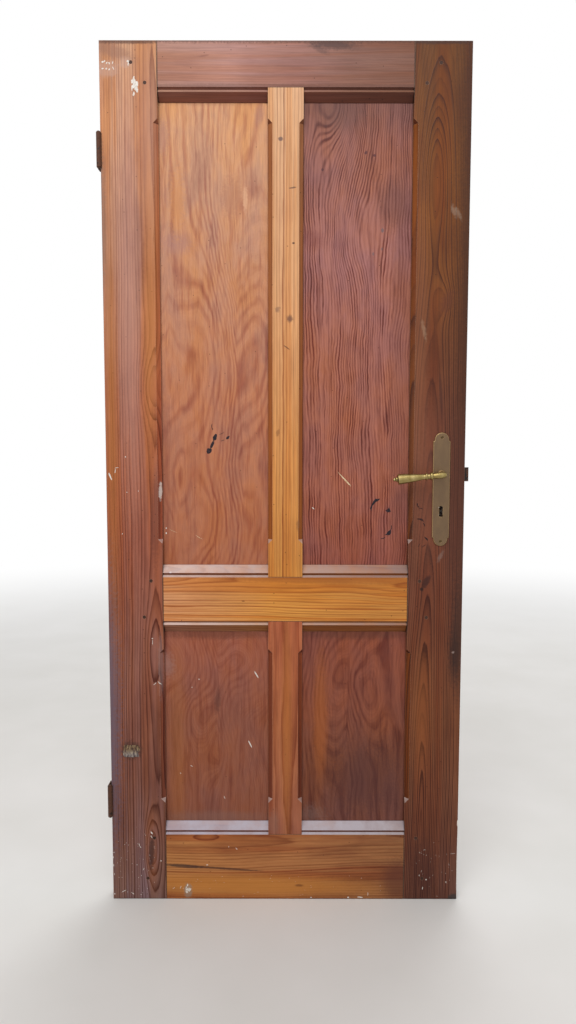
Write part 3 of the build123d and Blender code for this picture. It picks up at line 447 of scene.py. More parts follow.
# The four panels: thin plywood faced with rotary cut fir veneer, held in grooves. Peeling the
# log in a spiral gives broad wandering figure, different on each sheet, and never straight lines.
def fir_veneer(name, seed, tones, deep, pitch, warp, warp_scale, jag, swells=(), vees=(),
               lines=0.85, fine=0.3, cloud=0.6, marks=()):
    """Rotary cut veneer: the contour lines of a slow field, shaken so that they run jagged.

    jag is how fine the shaking is in x and z, then how far it moves the lines in x and z."""
    material, tree = new_material(name)
    where = add(tree, "ShaderNodeTexCoord")
    place = where.outputs["Object"]
    flat = add(tree, "ShaderNodeVectorMath", place, (1, 0, 1), operation="MULTIPLY")
    shake = drawn_noise(tree, flat, (0, seed, 0), (jag[0], 1, jag[1]), 1, 3, 0.5)
    shake = add(tree, "ShaderNodeVectorMath", shake.outputs["Color"], NOISE_MIDDLE,
                operation="SUBTRACT")
    bent = add(tree, "ShaderNodeVectorMath", shake, (jag[2], 0, jag[3]), flat,
               operation="MULTIPLY_ADD")
    broad = drawn_noise(tree, bent, (seed, 0, seed), warp_scale, 1, 2, 0.5)
    side = add(tree, "ShaderNodeSeparateXYZ", bent).outputs["X"]
    field = add(tree, "ShaderNodeMath", side, 1 / pitch, operation="MULTIPLY")
    field = add(tree, "ShaderNodeMath", broad, warp, field, operation="MULTIPLY_ADD")
    for centre, radii, height in swells:
        _, fall = mound(tree, bent, centre, radii, SWELL_FALL)
        field = add(tree, "ShaderNodeMath", fall, height, field, operation="MULTIPLY_ADD")
    for centre, radii, rise, spread in vees:
        near, fall = mound(tree, bent, centre, radii, VEE_FALL)
        arms = add(tree, "ShaderNodeSeparateXYZ", near)
        wide = add(tree, "ShaderNodeMath", arms.outputs["X"], operation="ABSOLUTE")
        wide = add(tree, "ShaderNodeMath", wide, -spread, operation="MULTIPLY")
        nested = add(tree, "ShaderNodeMath", arms.outputs["Z"], rise, wide,
                     operation="MULTIPLY_ADD")
        field = add(tree, "ShaderNodeMath", fall, nested, field, operation="MULTIPLY_ADD")
    band = add(tree, "ShaderNodeMath", field, operation="FRACT")
    line = add(tree, "ShaderNodeValToRGB", band,
               stops=[(0, 0.0), (0.3, 0.12), (0.5, 0.85), (0.65, 1), (1, 0.0)])
    which = add(tree, "ShaderNodeMath", field, operation="FLOOR")
    which = add(tree, "ShaderNodeTexWhiteNoise", which, noise_dimensions="1D")
    which = add(tree, "ShaderNodeMapRange", which, 0, 1, lines * 0.3, lines)
    line = add(tree, "ShaderNodeMath", line, which, operation="MULTIPLY")
    faint = drawn_noise(tree, flat, (0, seed, seed), (26, 1, 9), 1, 3, 0.6)
    faint = add(tree, "ShaderNodeMapRange", faint, 0.38, 0.6, 0.3, 1)
    line = add(tree, "ShaderNodeMath", line, faint, operation="MULTIPLY")
    thin = add(tree, "ShaderNodeMath", field, 4.3, operation="MULTIPLY")
    thin = add(tree, "ShaderNodeMath", thin, operation="FRACT")
    thin = add(tree, "ShaderNodeValToRGB", thin, stops=[(0.2, 0), (0.8, fine), (1, 0)])

    # Tone up the sheet, golden clouds where the oil took unevenly, mauve-grey clouds that paint a
    # sheen of reflected light, and the fibre
    height = add(tree, "ShaderNodeSeparateXYZ", place).outputs["Z"]
    share = add(tree, "ShaderNodeMapRange", height, tones[0][0], tones[-1][0], 0, 1)
    span = tones[-1][0] - tones[0][0]
    tone = add(tree, "ShaderNodeValToRGB", share,
               stops=[((z - tones[0][0]) / span, tint) for z, tint in tones])
    drift = drawn_noise(tree, flat, (seed, 0, 0), (11, 1, 5), 1, 4, 0.62)
    gold = add(tree, "ShaderNodeMapRange", drift, 0.36, 0.6, 0.75, 0)
    tone = tinted(tree, gold, tone, "#ffe8b4")
    mauve = add(tree, "ShaderNodeMapRange", drift, 0.5, 0.75, 0, cloud)
    tone = tinted(tree, mauve, tone, "#c2b0ba")
    colour = tinted(tree, line, tone, deep)
    colour = tinted(tree, thin, colour, deep)
    drawn = drawn_noise(tree, bent, (0, seed, 0), (150, 1, 9), 1, 3, 0.6)
    drawn = add(tree, "ShaderNodeMapRange", drawn, 0.5, 0.68, 0, 0.5)
    colour = tinted(tree, drawn, colour, deep)
    fibre = drawn_noise(tree, bent, (0, 0, 0), (450, 1, 18), 1, 3, 0.65)
    fibre_tone = add(tree, "ShaderNodeValToRGB", fibre, stops=[(0.3, 0.74), (0.68, 1.0)])
    colour = add(tree, "ShaderNodeMix", 0.85, colour, fibre_tone, data_type="RGBA",
                 blend_type="MULTIPLY")
    colour = flecked(tree, place, colour, "#3a1c12", cell=0.036, size=0.0014, share=0.14)
    rough_edge = add(tree, "ShaderNodeTexNoise", place, 170, 3, 0.65)
    rough_edge = add(tree, "ShaderNodeMath", rough_edge, 0.5, operation="SUBTRACT")
    colour = marked(tree, place, rough_edge, colour, marks, PANEL, PANEL_REACH)
    relief = add(tree, "ShaderNodeMath", fibre, 0.6, line, operation="MULTIPLY_ADD")
    finished(tree, where, colour, relief, gloss=0.42, corner_shade_and_dirt=0.9)
    return material


dress(fir_veneer(
    "rotary_cut_fir_upper_left", 2.6,
    [(0.795, "#b47256"), (1.2, "#c48466"), (1.55, "#cb9578"), (1.91, "#d8a37a")],
    deep="#c9a2a6", pitch=0.017, warp=6, warp_scale=(4.2, 1, 2.0),
    jag=(40, 13, 0.012, 0.05),
    vees=[((-0.114, 0, 1.45), (0.10, 1, 0.24), 9, 11), ((-0.272, 0, 1.37), (0.05, 1, 0.13), 4, -3),
          ((-0.10, 0, 0.98), (0.08, 1, 0.13), 4, 5), ((-0.25, 0, 0.95), (0.06, 1, 0.12), 3, 4)],
    fine=0.06, cloud=0.75,
    # The first mark is painted shadow: the moulding's shade along the top of the panel
    marks=[((-0.16, 1.89), (0.14, 0.012), 0, "#6b3a26", 0.4, 1.0, 0.6),
           ((-0.06, 1.855), (0.009, 0.024), 10, "#9a6a5c", 0.5, 0.8, 0.6),
           ((-0.282, 1.807), (0.014, 0.034), 0, "#9c6c62", 0.5, 1.6, 0.6),
           ((-0.252, 1.572), (0.032, 0.022), 0, "#a4746a", 0.5, 1.8, 0.6),
           ((-0.250, 1.66), (0.016, 0.07), 0, "#d28c48", 0.45, 1.8, 0.7),
           ((-0.125, 1.675), (0.022, 0.042), 0, "#a06a52", 0.45, 1.8, 0.5),
           ((-0.093, 1.67), (0.005, 0.026), 0, "#e6b48c", 0.5, 1.2, 0.5),
           ((-0.283, 1.0), (0.010, 0.20), 0, "#8a4c38", 0.4, 0.9, 0.6)],
    ), "panel_upper_left")
dress(fir_veneer(
    "rotary_cut_fir_upper_right", 9.2,
    [(0.795, "#9a584e"), (1.0, "#ac6a5a"), (1.2, "#b0705f"), (1.55, "#af756f"),
     (1.8, "#9c6459"), (1.91, "#7f5248")],
    deep="#a0706a", pitch=0.0062, warp=11, warp_scale=(6.5, 1, 2.6),
    jag=(30, 19, 0.009, 0.012),
    swells=[((0.12, 0, 1.87), (0.05, 1, 0.10), -9), ((0.17, 0, 1.60), (0.05, 1, 0.10), 4)],
    lines=1.5, fine=0.0,
    marks=[((0.125, 1.86), (0.045, 0.035), 0, "#5c3a34", 0.5, 0.9, 0.6),
           ((0.25, 1.66), (0.035, 0.05), 0, "#5e3832", 0.45, 0.9, 0.6),
           ((0.27, 1.3), (0.025, 0.5), 0, "#6e4038", 0.35, 0.9, 0.6),
           ((0.06, 1.58), (0.028, 0.02), 20, "#6a2f30", 0.4, 1.2, 0.6),
           ((0.203, 1.767), (0.003, 0.003), 0, "#4a2228", 0.8, 0.8, 0.3),
           ((0.183, 1.773), (0.003, 0.004), 30, "#4a2228", 0.8, 0.8, 0.3),
           ((0.084, 1.735), (0.003, 0.003), 0, "#4a2228", 0.8, 0.8, 0.3),
           ((0.223, 1.60), (0.003, 0.005), 0, "#4a5058", 0.6, 0.8, 0.3),
           ((0.222, 1.558), (0.002, 0.003), 0, "#4a5058", 0.5, 0.8, 0.3),
           ((0.202, 1.547), (0.002, 0.004), 0, "#4a5058", 0.5, 0.8, 0.3)],
    ), "panel_upper_right")
dress(fir_veneer(
    "rotary_cut_fir_lower_left", 15.5,
    [(0.163, "#935c4b"), (0.45, "#9d614c"), (0.69, "#aa6756")],
    deep="#c89c94", pitch=0.02, warp=5, warp_scale=(5, 1, 2.4),
    jag=(26, 9, 0.014, 0.04),
    vees=[((-0.164, 0, 0.60), (0.075, 1, 0.085), 5, 7),
          ((-0.164, 0, 0.44), (0.06, 1, 0.09), 5, -6)],
    lines=0.6, fine=0.2,
    marks=[((-0.262, 0.38), (0.018, 0.20), 0, "#a0602c", 0.4, 1.0, 1.0),
           ((-0.163, 0.49), (0.007, 0.026), 5, "#54302a", 0.55, 1.6, 0.6),
           ((-0.284, 0.582), (0.014, 0.024), -12, "#a58a84", 0.3, 3.0, 0.9),
           ((-0.17, 0.20), (0.12, 0.014), 0, "#7d625a", 0.35, 1.2, 0.6),
           # Painted shadow under the lock rail's moulding
           ((-0.16, 0.655), (0.13, 0.012), 0, "#4d2a20", 0.5, 1.0, 0.6)],
    ), "panel_lower_left")
dress(fir_veneer(
    "rotary_cut_fir_lower_right", 23.8,
    [(0.163, "#805046"), (0.35, "#85503e"), (0.5, "#965641"), (0.69, "#985747")],
    deep="#a87c80", pitch=0.022, warp=7, warp_scale=(5.5, 1, 2.6),
    jag=(24, 9, 0.022, 0.05),
    vees=[((0.15, 0, 0.46), (0.06, 1, 0.13), 5, -6)], fine=0.15,
    marks=[((0.20, 0.30), (0.09, 0.09), 0, "#4e2c2a", 0.5, 1.4, 0.6),
           ((0.085, 0.45), (0.016, 0.14), 0, "#a85c28", 0.5, 1.0, 0.6),
           ((0.065, 0.208), (0.028, 0.018), 0, "#7a645e", 0.35, 3.4, 0.9),
           # Painted shadow under the lock rail's moulding
           ((0.17, 0.655), (0.13, 0.012), 0, "#4d2a20", 0.5, 1.0, 0.6)],
    ), "panel_lower_right")


# Draw pegs and wedges: riven pins driven through the joints and sawn off flush, so that the
# darker end grain shows, and wedges that spread the tenons from the edges of the leaf.
def end_grain(name, pale, deep):
    """Sawn end grain, dark with old oil."""
    material, tree = new_material(name)
    place = add(tree, "ShaderNodeTexCoord").outputs["Object"]
    pores = add(tree, "ShaderNodeTexNoise", place, 900, 3, 0.6)
    blot = add(tree, "ShaderNodeTexNoise", place, 60, 2, 0.5)
    shade = add(tree, "ShaderNodeMath", pores, 0.5, blot, operation="MULTIPLY_ADD")
    colour = add(tree, "ShaderNodeValToRGB", shade, stops=[(0.45, deep), (1.05, pale)])
    relief = add(tree, "ShaderNodeBump", 0.4, 0.0003, sockets={"Height": pores})
    surfaced(tree, colour, 0.55, relief, specular=WOOD_SPECULAR)
    return material


dress(end_grain("oak_end_grain_pegs", "#4e3226", "#170e0a"), "draw_pegs", "tenon_wedges")


# Paint, ink and knocks that the leaf has picked up: dried drops and runs of white paint, smears
# of blue-black ink by the lock, a pale scratch, and the torn wood of a knot that broke out. All
# but the knot are as thin as a film, so each is a low blot of its own on the surface it is on.
FILM_T = 0.0003
LEVEL_STEP = 0.06
LEVELS = 16
SIDES = 20


def blot(mesh, level, spot, half, turn=0, bend=0.0, ragged=0.3, taper=0.0):
    """One blot: a low drop stretched, bent and turned, with a wandering rim.

    Its level keeps its top clear of the tops of its neighbours where they lie over it."""
    centre = Vector((spot[0], spot[2] if len(spot) > 2 else FACE, spot[1]))
    turned = Matrix.Rotation(math.radians(turn), 3, "Y")
    drop = bmesh.ops.create_cone(mesh, cap_ends=True, segments=SIDES, radius1=1, radius2=0.7,
                                 depth=FILM_T * (1 + LEVEL_STEP * (level % LEVELS)))
    for vert in drop["verts"]:
        x, z, lift = vert.co
        out = 1 + ragged * noise.noise(Vector((x, z, 0)) * 1.7 + centre * 900)
        x = half[0] * x * out * (1 - taper * z) + half[1] * bend * z * z
        vert.co = turned @ Vector((x, -lift, half[1] * z * out)) + centre


def scattered(seed, spot, spread, size, how_many):
    """Many little blots for one broken-up patch of paint."""
    rng = random.Random(seed)
    made = []
    for _ in range(how_many):
        angle, reach = rng.uniform(0, math.tau), math.sqrt(rng.random())
        place = (spot[0] + spread[0] * reach * math.cos(angle),
                 spot[1] + spread[1] * reach * math.sin(angle))
        half = (size[0] * rng.uniform(0.6, 1.4), size[1] * rng.uniform(0.5, 1.5))
        made.append((place, half, rng.uniform(-12, 12), 0, 0.5))
    return made


def placed(name, data):
    """Put new data into the scene as an object of its own."""
    piece = bpy.data.objects.new(name, data)
    bpy.context.scene.collection.objects.link(piece)
    return piece


def meshed(name, mesh, material):
    """Turn a bmesh into a piece of one material."""
    data = bpy.data.meshes.new(name)
    mesh.to_mesh(data)
    mesh.free()
    data.materials.append(material)
    return placed(name, data)


def film(name, material, blots):
    """Join blots of one stuff into one piece on the leaf."""
    mesh = bmesh.new()
    for level, one in enumerate(blots):
        blot(mesh, level, *one)
    piece = meshed(name, mesh, material)
    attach(piece, "leaf")


def dried(name, thick, thin, scale, roughness):
    """A dried film, thinner and duller in patches."""
    material, tree = new_material(name)
    place = add(tree, "ShaderNodeTexCoord").outputs["Object"]
    body = add(tree, "ShaderNodeTexNoise", place, scale, 3, 0.6)
    colour = add(tree, "ShaderNodeValToRGB", body, stops=[(0.35, thin), (0.6, thick)])
    relief = add(tree, "ShaderNodeBump", 0.4, 0.0002, sockets={"Height": body})
    surfaced(tree, colour, roughness, relief, specular=WOOD_SPECULAR)
    return material


film("white_paint_spots", dried("dried_white_paint", "#ece8e0", "#b9a79a", 700, 0.55), [
    ((-0.4105, 1.0335), (0.0022, 0.0105), -22),
    ((-0.3985, 1.046), (0.0010, 0.0075), 8), ((-0.3945, 1.0535), (0.0007, 0.005), 84),
    ((-0.374, 1.079), (0.0015, 0.0017)), ((-0.372, 0.996), (0.0010, 0.0013)),
    ((-0.345, 0.999), (0.0012, 0.0014)), ((-0.384, 0.898), (0.0011, 0.0014)),
    ((-0.3165, 0.6475), (0.0016, 0.0018)), ((-0.3162, 0.638), (0.0007, 0.007)),
    ((-0.301, 0.539), (0.0010, 0.006), -50, 0.3), ((-0.312, 0.537), (0.0008, 0.005), 50),
    ((-0.355, 1.965), (0.0034, 0.0028)), ((-0.354, 1.959), (0.0014, 0.005), 10),
    ((-0.4120, 1.963), (0.0027, 0.0026)), ((-0.4080, 1.965), (0.0018, 0.0032), 60),
    ((-0.4025, 1.9610), (0.0018, 0.0030), 30), ((-0.3970, 1.9605), (0.0017, 0.0032), -20),
    ((-0.389, 1.962), (0.0010, 0.0040), 15), ((-0.4120, 1.9490), (0.0019, 0.0030), 70),
    ((-0.4035, 1.9490), (0.0019, 0.0027), 0), ((-0.3970, 1.9475), (0.0016, 0.0028), 25),
    ((-0.388, 1.950), (0.0008, 0.0045), -30),
    *scattered(4, (-0.3405, 1.911), (0.0070, 0.0185), (0.0019, 0.0044), 40),
    ((-0.3245, 0.1670), (0.0018, 0.0045), -30), ((-0.3250, 0.157), (0.0011, 0.0042), -22),
    ((-0.355, 0.137), (0.0008, 0.0042), -14), ((-0.352, 0.131), (0.0008, 0.003), -40),
    ((-0.3025, 0.0960), (0.0016, 0.0018)), ((-0.345, 0.075), (0.0006, 0.004), 30),
    ((-0.417, 0.1175), (0.0017, 0.0011)), ((-0.4185, 0.105), (0.0008, 0.0036)),
    ((-0.418, 0.085), (0.0010, 0.0040)), ((-0.4165, 0.062), (0.0008, 0.0028)),
    ((-0.4165, 0.012), (0.0018, 0.0020)), ((-0.394, 0.019), (0.0008, 0.0075), 62),
    ((-0.372, 0.013), (0.0009, 0.0040), -50), ((-0.352, 0.010), (0.0013, 0.0012)),
    ((-0.255, 0.029), (0.0007, 0.005), 20), ((-0.272, 0.027), (0.0006, 0.004), 50),
    ((-0.190, 0.086), (0.0020, 0.0016)), ((-0.118, 0.127), (0.0010, 0.004), -40),
    ((-0.137, 0.132), (0.0012, 0.0014)), ((-0.226, 0.335), (0.0006, 0.004), -60),
    *scattered(11, (-0.237, 0.020), (0.0062, 0.0145), (0.0014, 0.0030), 16),
    ((0.155, 0.0035), (0.0028, 0.0020)), ((0.184, 0.0040), (0.0070, 0.0016), 6),
    ((0.064, 0.0035), (0.0022, 0.0012)), ((0.203, 0.012), (0.0008, 0.006), 0),
    ((0.3935, 0.043), (0.0016, 0.0018)), ((0.345, 0.049), (0.0018, 0.0020)),
    ((0.3365, 0.027), (0.0010, 0.0042), 8), ((0.328, 0.118), (0.0008, 0.0016)),
    ((0.328, 0.060), (0.0009, 0.0024)), ((0.409, 0.1155), (0.0003, 0.007), 88),
    *scattered(21, (-0.362, 0.095), (0.054, 0.092), (0.0004, 0.0011), 46),
    *scattered(22, (0.365, 0.075), (0.050, 0.070), (0.0004, 0.0009), 30),
    *scattered(23, (0, 0.035), (0.27, 0.032), (0.0005, 0.0007), 34),
    ((0.4192, 0.092), (0.0007, 0.066), 0, 0, 0.9), ((0.4188, 0.192), (0.0012, 0.008)),
    ((-0.0695, 0.5555, PANEL), (0.0018, 0.0115), -30, 0, 0.1),
    ((-0.085, 0.383, PANEL), (0.0016, 0.0115), -26, 0, 0.1),
    ((-0.208, 0.544, PANEL), (0.0018, 0.0016)), ((-0.225, 0.524, PANEL), (0.0011, 0.0013)),
    ((-0.283, 0.910, PANEL), (0.0014, 0.0024)), ((-0.283, 0.898, PANEL), (0.0018, 0.0024)),
    ((0.066, 0.958, PANEL), (0.0012, 0.0042), -50), ((-0.255, 0.31, PANEL), (0.0010, 0.002), -30),
    ((-0.148, 0.249, PANEL), (0.0006, 0.0050), -20)])
film("pale_scratch", dried("scraped_pale_wood", "#e6d3b0", "#b99066", 500, 0.6), [
    ((0.1385, 1.028, PANEL), (0.0016, 0.0268), -43, 0, 0.25, 0.8),
    ((-0.266, 0.903, PANEL), (0.0004, 0.012), -65, 0.1),
    ((-0.205, 0.888, PANEL), (0.0005, 0.012), -60, 0.1)])
film("ink_smears", dried("blue_black_ink_stain", "#15151c", "#3c262c", 260, 0.55), [
    ((-0.1665, 1.124, PANEL), (0.0050, 0.0090), 15, 0, 0.6),
    ((-0.1725, 1.108, PANEL), (0.0040, 0.0110), 25, 0, 0.5),
    ((-0.1800, 1.0925, PANEL), (0.0070, 0.0080), 40, 0, 0.5),
    ((-0.1735, 1.150, PANEL), (0.0011, 0.0085), -6, 0.4, 0.6),
    ((-0.1355, 1.1245, PANEL), (0.0035, 0.0058), 45, 0, 0.9),
    ((-0.1480, 1.1175, PANEL), (0.0007, 0.0060), 72, 0, 0.5),
    ((-0.1500, 1.1340, PANEL), (0.0006, 0.0070), 62, 0, 0.5),
    ((0.2115, 0.9745, PANEL), (0.0042, 0.0120), 44, 0.40, 0.5, -0.5),
    ((0.2035, 0.9600, PANEL), (0.0026, 0.0100), 12, 0.2, 0.7),
    ((0.2445, 0.9530, PANEL), (0.0052, 0.0065), 16, 0, 0.9, 0.5),
    ((0.2460, 0.8985, PANEL), (0.0046, 0.0115), 48, -0.35, 0.5, -0.4),
    ((0.2325, 0.8865, PANEL), (0.0012, 0.0065), 66, -0.3, 0.7),
    ((0.2520, 0.9120, PANEL), (0.0010, 0.0080), 4, -0.3, 0.7)])
film("ink_smears_on_stile", dried("rubbed_ink_stain", "#1f1013", "#3c1e1a", 240, 0.55), [
    ((0.3105, 0.9660), (0.0016, 0.0060), -20, 0.4, 0.8),
    ((0.3190, 0.9590), (0.0009, 0.0065), 100, 0.3, 0.8),
    ((0.3190, 0.9330), (0.0022, 0.0105), -68, -0.35, 0.6),
    ((0.3270, 0.9210), (0.0013, 0.0060), -25, -0.3, 0.8),
    ((0.3330, 0.8870), (0.0022, 0.0075), -38, -0.2, 0.7),
    ((0.3260, 0.8700), (0.0008, 0.0070), 52, 0.2, 0.8),
    ((0.3150, 0.8720), (0.0008, 0.0060), 30, 0.2, 0.8)])

# The broken knot: splintered grey wood standing a little proud of the face
KNOT_X, KNOT_Z = -0.3705, 0.3715
KNOT_HALF_W, KNOT_HALF_H = 0.0190, 0.0165
KNOT_BODY = 0.0004
SPLINTER = 0.0013
torn = bmesh.new()
bmesh.ops.create_icosphere(torn, subdivisions=6, radius=1)
for vert in torn.verts:
    x, depth, z = vert.co
    square = 1 / max(abs(x), abs(z), 0.3) ** 0.7
    rim = square * (1 + 0.4 * noise.noise(Vector((x, 5, z)) * 1.6))
    splinter = noise.noise(Vector((x * 5 + z, 3, z * 1.6))) + 0.7 * noise.noise(
        Vector((x * 13 + 2 * z, 7, z * 3)))
    lift = KNOT_BODY * depth - SPLINTER * max(0.0, splinter) * max(0.0, -depth)
    vert.co = Vector((KNOT_X + KNOT_HALF_W * rim * x, FACE + lift, KNOT_Z + KNOT_HALF_H * rim * z))
knot_wood, tree = new_material("splintered_knot_wood")
place = add(tree, "ShaderNodeTexCoord").outputs["Object"]
shreds = add(tree, "ShaderNodeMapping", place, (0, 0, 0), (0, 0.5, 0), (1, 1, 0.35))
shreds = add(tree, "ShaderNodeTexNoise", shreds, 210, 5, 0.72)
colour = add(tree, "ShaderNodeValToRGB", shreds,
             stops=[(0.36, "#24150f"), (0.46, "#5a3f2c"), (0.56, "#86704f"), (0.68, "#a08f72")])
bleached = add(tree, "ShaderNodeValToRGB", shreds,
               stops=[(0.34, "#33292a"), (0.47, "#6c6260"), (0.62, "#9c938f")])
low = add(tree, "ShaderNodeSeparateXYZ", place).outputs["Z"]
low = add(tree, "ShaderNodeMath", shreds, 0.02, low, operation="MULTIPLY_ADD")
low = add(tree, "ShaderNodeMapRange", low, 0.386, 0.372, 0, 0.85)
colour = add(tree, "ShaderNodeMix", low, colour, bleached, data_type="RGBA")
relief = add(tree, "ShaderNodeBump", 0.8, 0.0006, sockets={"Height": shreds})
surfaced(tree, colour, 0.8, relief)
broken_knot = meshed("broken_knot", torn, knot_wood)
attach(broken_knot, "leaf")


# The hinges: two steel butts let into the edge and its front corner, gone brown with rust, and
# the countersunk wood screws that hold them.
def old_steel(name, bare, rust, share, scale, roughness):
    """Steel with a film of rust that breaks up over its surface."""
    material, tree = new_material(name)
    place = add(tree, "ShaderNodeTexCoord").outputs["Object"]
    skim = add(tree, "ShaderNodeTexNoise", place, scale, 4, 0.65)
    skim = add(tree, "ShaderNodeMapRange", skim, 0.62 - 0.3 * share, 0.72 - 0.3 * share, 0, 1,
               interpolation_type="SMOOTHSTEP")
    pits = add(tree, "ShaderNodeTexNoise", place, scale * 6, 3, 0.6)
    bloom = add(tree, "ShaderNodeMix", pits, hex_colour(rust), hex_colour("#6b3d22"),
                data_type="RGBA")
    colour = add(tree, "ShaderNodeMix", skim, hex_colour(bare), bloom, data_type="RGBA")
    gloss = add(tree, "ShaderNodeMapRange", skim, 0, 1, roughness, 0.8)
    shine = add(tree, "ShaderNodeMapRange", skim, 0, 1, 0.8, 0.1)
    relief = add(tree, "ShaderNodeBump", 0.3, 0.0002, sockets={"Height": pits})
    surfaced(tree, colour, gloss, relief, shine)
    return material


dress(old_steel("rusted_steel_hinges", "#2e2826", "#2a1d19", 0.9, 120, 0.5),
      *[f"{end}_hinge_{part}" for end in ("upper", "lower")
        for part in ("door_leaf", "jamb_leaf", "pin")])
dress(old_steel("dulled_steel_screws", "#6d6660", "#4a3a32", 0.5, 200, 0.42), "hinge_screws")


# The long plates: pressed brass 3 mm thick with a bevelled edge, aged to a brown, with a painted
# highlight along the bevel and the edges, each held by two countersunk screws.
BRASS_ARRIS = 0.0016
BRASS_CORNER = 0.005


def aged_brass(name, film_tone, bright, groove, worn, dulling, grime, bevelled):
    """Brass with a brown film, brighter on its bevel and edges as a painted highlight, with some
    wear on the edges, and dark in its hollows.
    """
    material, tree = new_material(name)
    where = add(tree, "ShaderNodeTexCoord")
    place = where.outputs["Object"]
    cloud = drawn_noise(tree, place, (0, 0, 0), (1, 1, 0.4), 70, 4, 0.6)
    wear = add(tree, "ShaderNodeMapRange", cloud, 0.4, 0.65, 0.0, worn)
    colour = add(tree, "ShaderNodeMix", wear, hex_colour(film_tone), hex_colour(bright),
                 data_type="RGBA")
    eased = add(tree, "ShaderNodeBevel", BRASS_ARRIS, samples=6)
    flat = add(tree, "ShaderNodeNewGeometry").outputs["Normal"]
    turned = add(tree, "ShaderNodeVectorMath", eased, flat, operation="DOT_PRODUCT")
    # Edges brighter: some wear, and a painted highlight
    edge_wear_and_highlight = add(tree, "ShaderNodeMapRange", turned.outputs["Value"], 0.99, 0.93, 0, 0.8)
    colour = add(tree, "ShaderNodeMix", edge_wear_and_highlight, colour, hex_colour(bright), data_type="RGBA")
    # Bevel faces brighter: a painted highlight
    painted_bevel_highlight = add(tree, "ShaderNodeSeparateXYZ", where.outputs["Normal"]).outputs["Y"]
    painted_bevel_highlight = add(tree, "ShaderNodeMath", painted_bevel_highlight, operation="ABSOLUTE")
    painted_bevel_highlight = add(tree, "ShaderNodeMapRange", painted_bevel_highlight, 0.97, 0.85, 0, bevelled)
    colour = add(tree, "ShaderNodeMix", painted_bevel_highlight, colour, hex_colour(bright), data_type="RGBA")
    hollow = add(tree, "ShaderNodeAmbientOcclusion", samples=8, sockets={"Distance": BRASS_CORNER})
    hollow = add(tree, "ShaderNodeMapRange", hollow.outputs["AO"], 0.3, 0.85, grime, 0)
    colour = add(tree, "ShaderNodeMix", hollow, colour, hex_colour(groove), data_type="RGBA")
    lines = drawn_noise(tree, place, (0, 0, 0), (2600, 2600, 40), 1, 2, 0.6)
    gloss = add(tree, "ShaderNodeMath", cloud, 0.15, operation="MULTIPLY")
    gloss = add(tree, "ShaderNodeMath", lines, 0.12, gloss, operation="MULTIPLY_ADD")
    gloss = add(tree, "ShaderNodeMath", gloss, dulling, operation="ADD")
    relief = add(tree, "ShaderNodeBump", 0.12, 0.0002, sockets={"Height": lines, "Normal": eased})
    surfaced(tree, colour, gloss, relief, 1)
    return material


dress(aged_brass("aged_brass_plates", "#715c48", "#a88a60", "#241a10", worn=0.10, dulling=0.28,
                 grime=0.9, bevelled=0.9), "front_plate", "back_plate")
dress(aged_brass("aged_brass_screws", "#45372a", "#7a6244", "#1d150e", worn=0.3, dulling=0.3,
                 grime=0.9, bevelled=0), "plate_screws")


# The levers: turned brass grips bent in at an elbow, on a square spindle with a cross pin
# through each neck. Hands keep the grip yellow, and grime stays in the turned grooves.
dress(aged_brass("aged_brass_levers", "#93804e", "#c8b680", "#2b2012", worn=0.5, dulling=0.2,
                 grime=1.0, bevelled=0), "front_lever", "back_lever")
dress(old_steel("bright_steel_spindle", "#8b8781", "#5a4c42", 0.2, 90, 0.35), "spindle",
      "lever_pins", "follower")


# The lock: a folded steel case with its lid, a faceplate let into the edge, the latch and the
# dead bolt, and two bent springs. The faceplate, its screws and the ends of both bolts show.
dress(old_steel("browned_steel_lock", "#6f665e", "#4b3b31", 0.5, 80, 0.45), "lock_case",
      "lock_cover", "case_screws", "lock_faceplate", "faceplate_screws")
dress(old_steel("blackened_steel_bolts", "#2d2725", "#211a17", 0.4, 110, 0.4), "latch_bolt",
      "dead_bolt")
dress(old_steel("blued_spring_steel", "#4d5159", "#3b3330", 0.1, 100, 0.3), "latch_spring",
      "bolt_spring")


# The room: a plain pale floor that fades into a white surround, soft light from one wide panel
# above and in front and one behind, and the camera where the photograph was taken from.
FLOOR_HALF = 14
FLOOR_DROP = 0.0006
FADE_FROM, FADE_TO = 1.5, 6.0
AMBIENT = 0.55
PANEL_SIZE = 2.6
LENS_MM, SENSOR_MM = 26.016, 36
EYE = (0.006, -1.7547, 1.0843)
EYE_TILT, EYE_ROLL = 85.58, -0.08

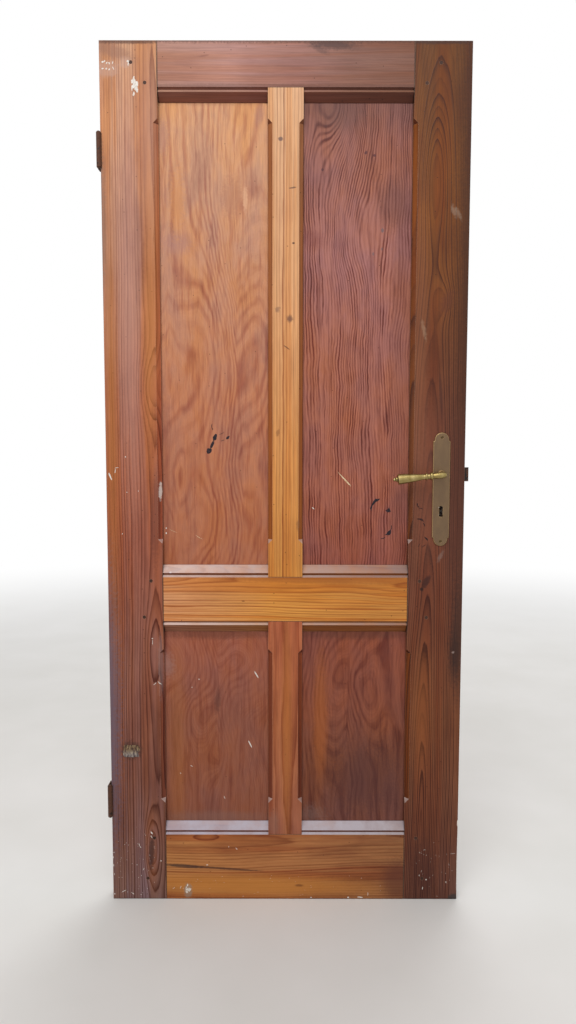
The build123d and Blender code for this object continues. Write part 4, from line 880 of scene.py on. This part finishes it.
floor_mesh = bmesh.new()
bmesh.ops.create_grid(floor_mesh, x_segments=1, y_segments=1, size=FLOOR_HALF)
bmesh.ops.translate(floor_mesh, verts=floor_mesh.verts, vec=(0, 0, -FLOOR_DROP))
floor_paint, tree = new_material("pale_studio_floor")
place = add(tree, "ShaderNodeTexCoord").outputs["Object"]
distance = add(tree, "ShaderNodeVectorMath", place, operation="LENGTH")
fade = add(tree, "ShaderNodeMapRange", distance, FADE_FROM, FADE_TO, 0, 1,
           interpolation_type="SMOOTHSTEP")
mottle = add(tree, "ShaderNodeTexNoise", place, 3, 3, 0.5)
paint = add(tree, "ShaderNodeValToRGB", mottle, stops=[(0.3, "#dcdad6"), (0.7, "#e2e0dd")])
matt = add(tree, "ShaderNodeBsdfPrincipled", sockets={"Base Color": paint, "Roughness": 0.8})
white = add(tree, "ShaderNodeEmission", (1, 1, 1, 1), 1)
add(tree, "ShaderNodeOutputMaterial", add(tree, "ShaderNodeMixShader", fade, matt, white))
floor = meshed("studio_floor", floor_mesh, floor_paint)

world = bpy.data.worlds.new("white_studio")
bpy.context.scene.world = world
world.use_nodes = True
tree = world.node_tree
tree.nodes.clear()
path = add(tree, "ShaderNodeLightPath")
seen = add(tree, "ShaderNodeMath", path.outputs["Is Camera Ray"], path.outputs["Is Glossy Ray"],
           operation="MAXIMUM")
seen = add(tree, "ShaderNodeMath", seen, path.outputs["Is Transmission Ray"],
           operation="MAXIMUM")
ambient = add(tree, "ShaderNodeBackground", (1, 1, 1, 1), AMBIENT)
backdrop = add(tree, "ShaderNodeBackground", (1, 1, 1, 1), 1)
add(tree, "ShaderNodeOutputWorld", add(tree, "ShaderNodeMixShader", seen, ambient, backdrop))

for name, spot, aim, watts in (("sky_panel", (-0.5, -2.6, 3.6), (0, 0, 1.1), 75),
                               ("back_panel", (0.8, 2.6, 3.4), (0, 0, 1.0), 55)):
    data = bpy.data.lights.new(name, "AREA")
    data.size = PANEL_SIZE
    data.energy = watts
    lamp = placed(name, data)
    lamp.location = spot
    lamp.rotation_euler = (Vector(aim) - Vector(spot)).to_track_quat("-Z", "Y").to_euler()

camera_data = bpy.data.cameras.new("photograph")
camera_data.lens, camera_data.sensor_width = LENS_MM, SENSOR_MM
camera = placed("photograph", camera_data)
camera.location = EYE
camera.rotation_euler = (math.radians(EYE_TILT), math.radians(EYE_ROLL), 0)
bpy.context.scene.camera = camera
bpy.context.scene.view_settings.view_transform = "Standard"

bpy.context.view_layer.update()
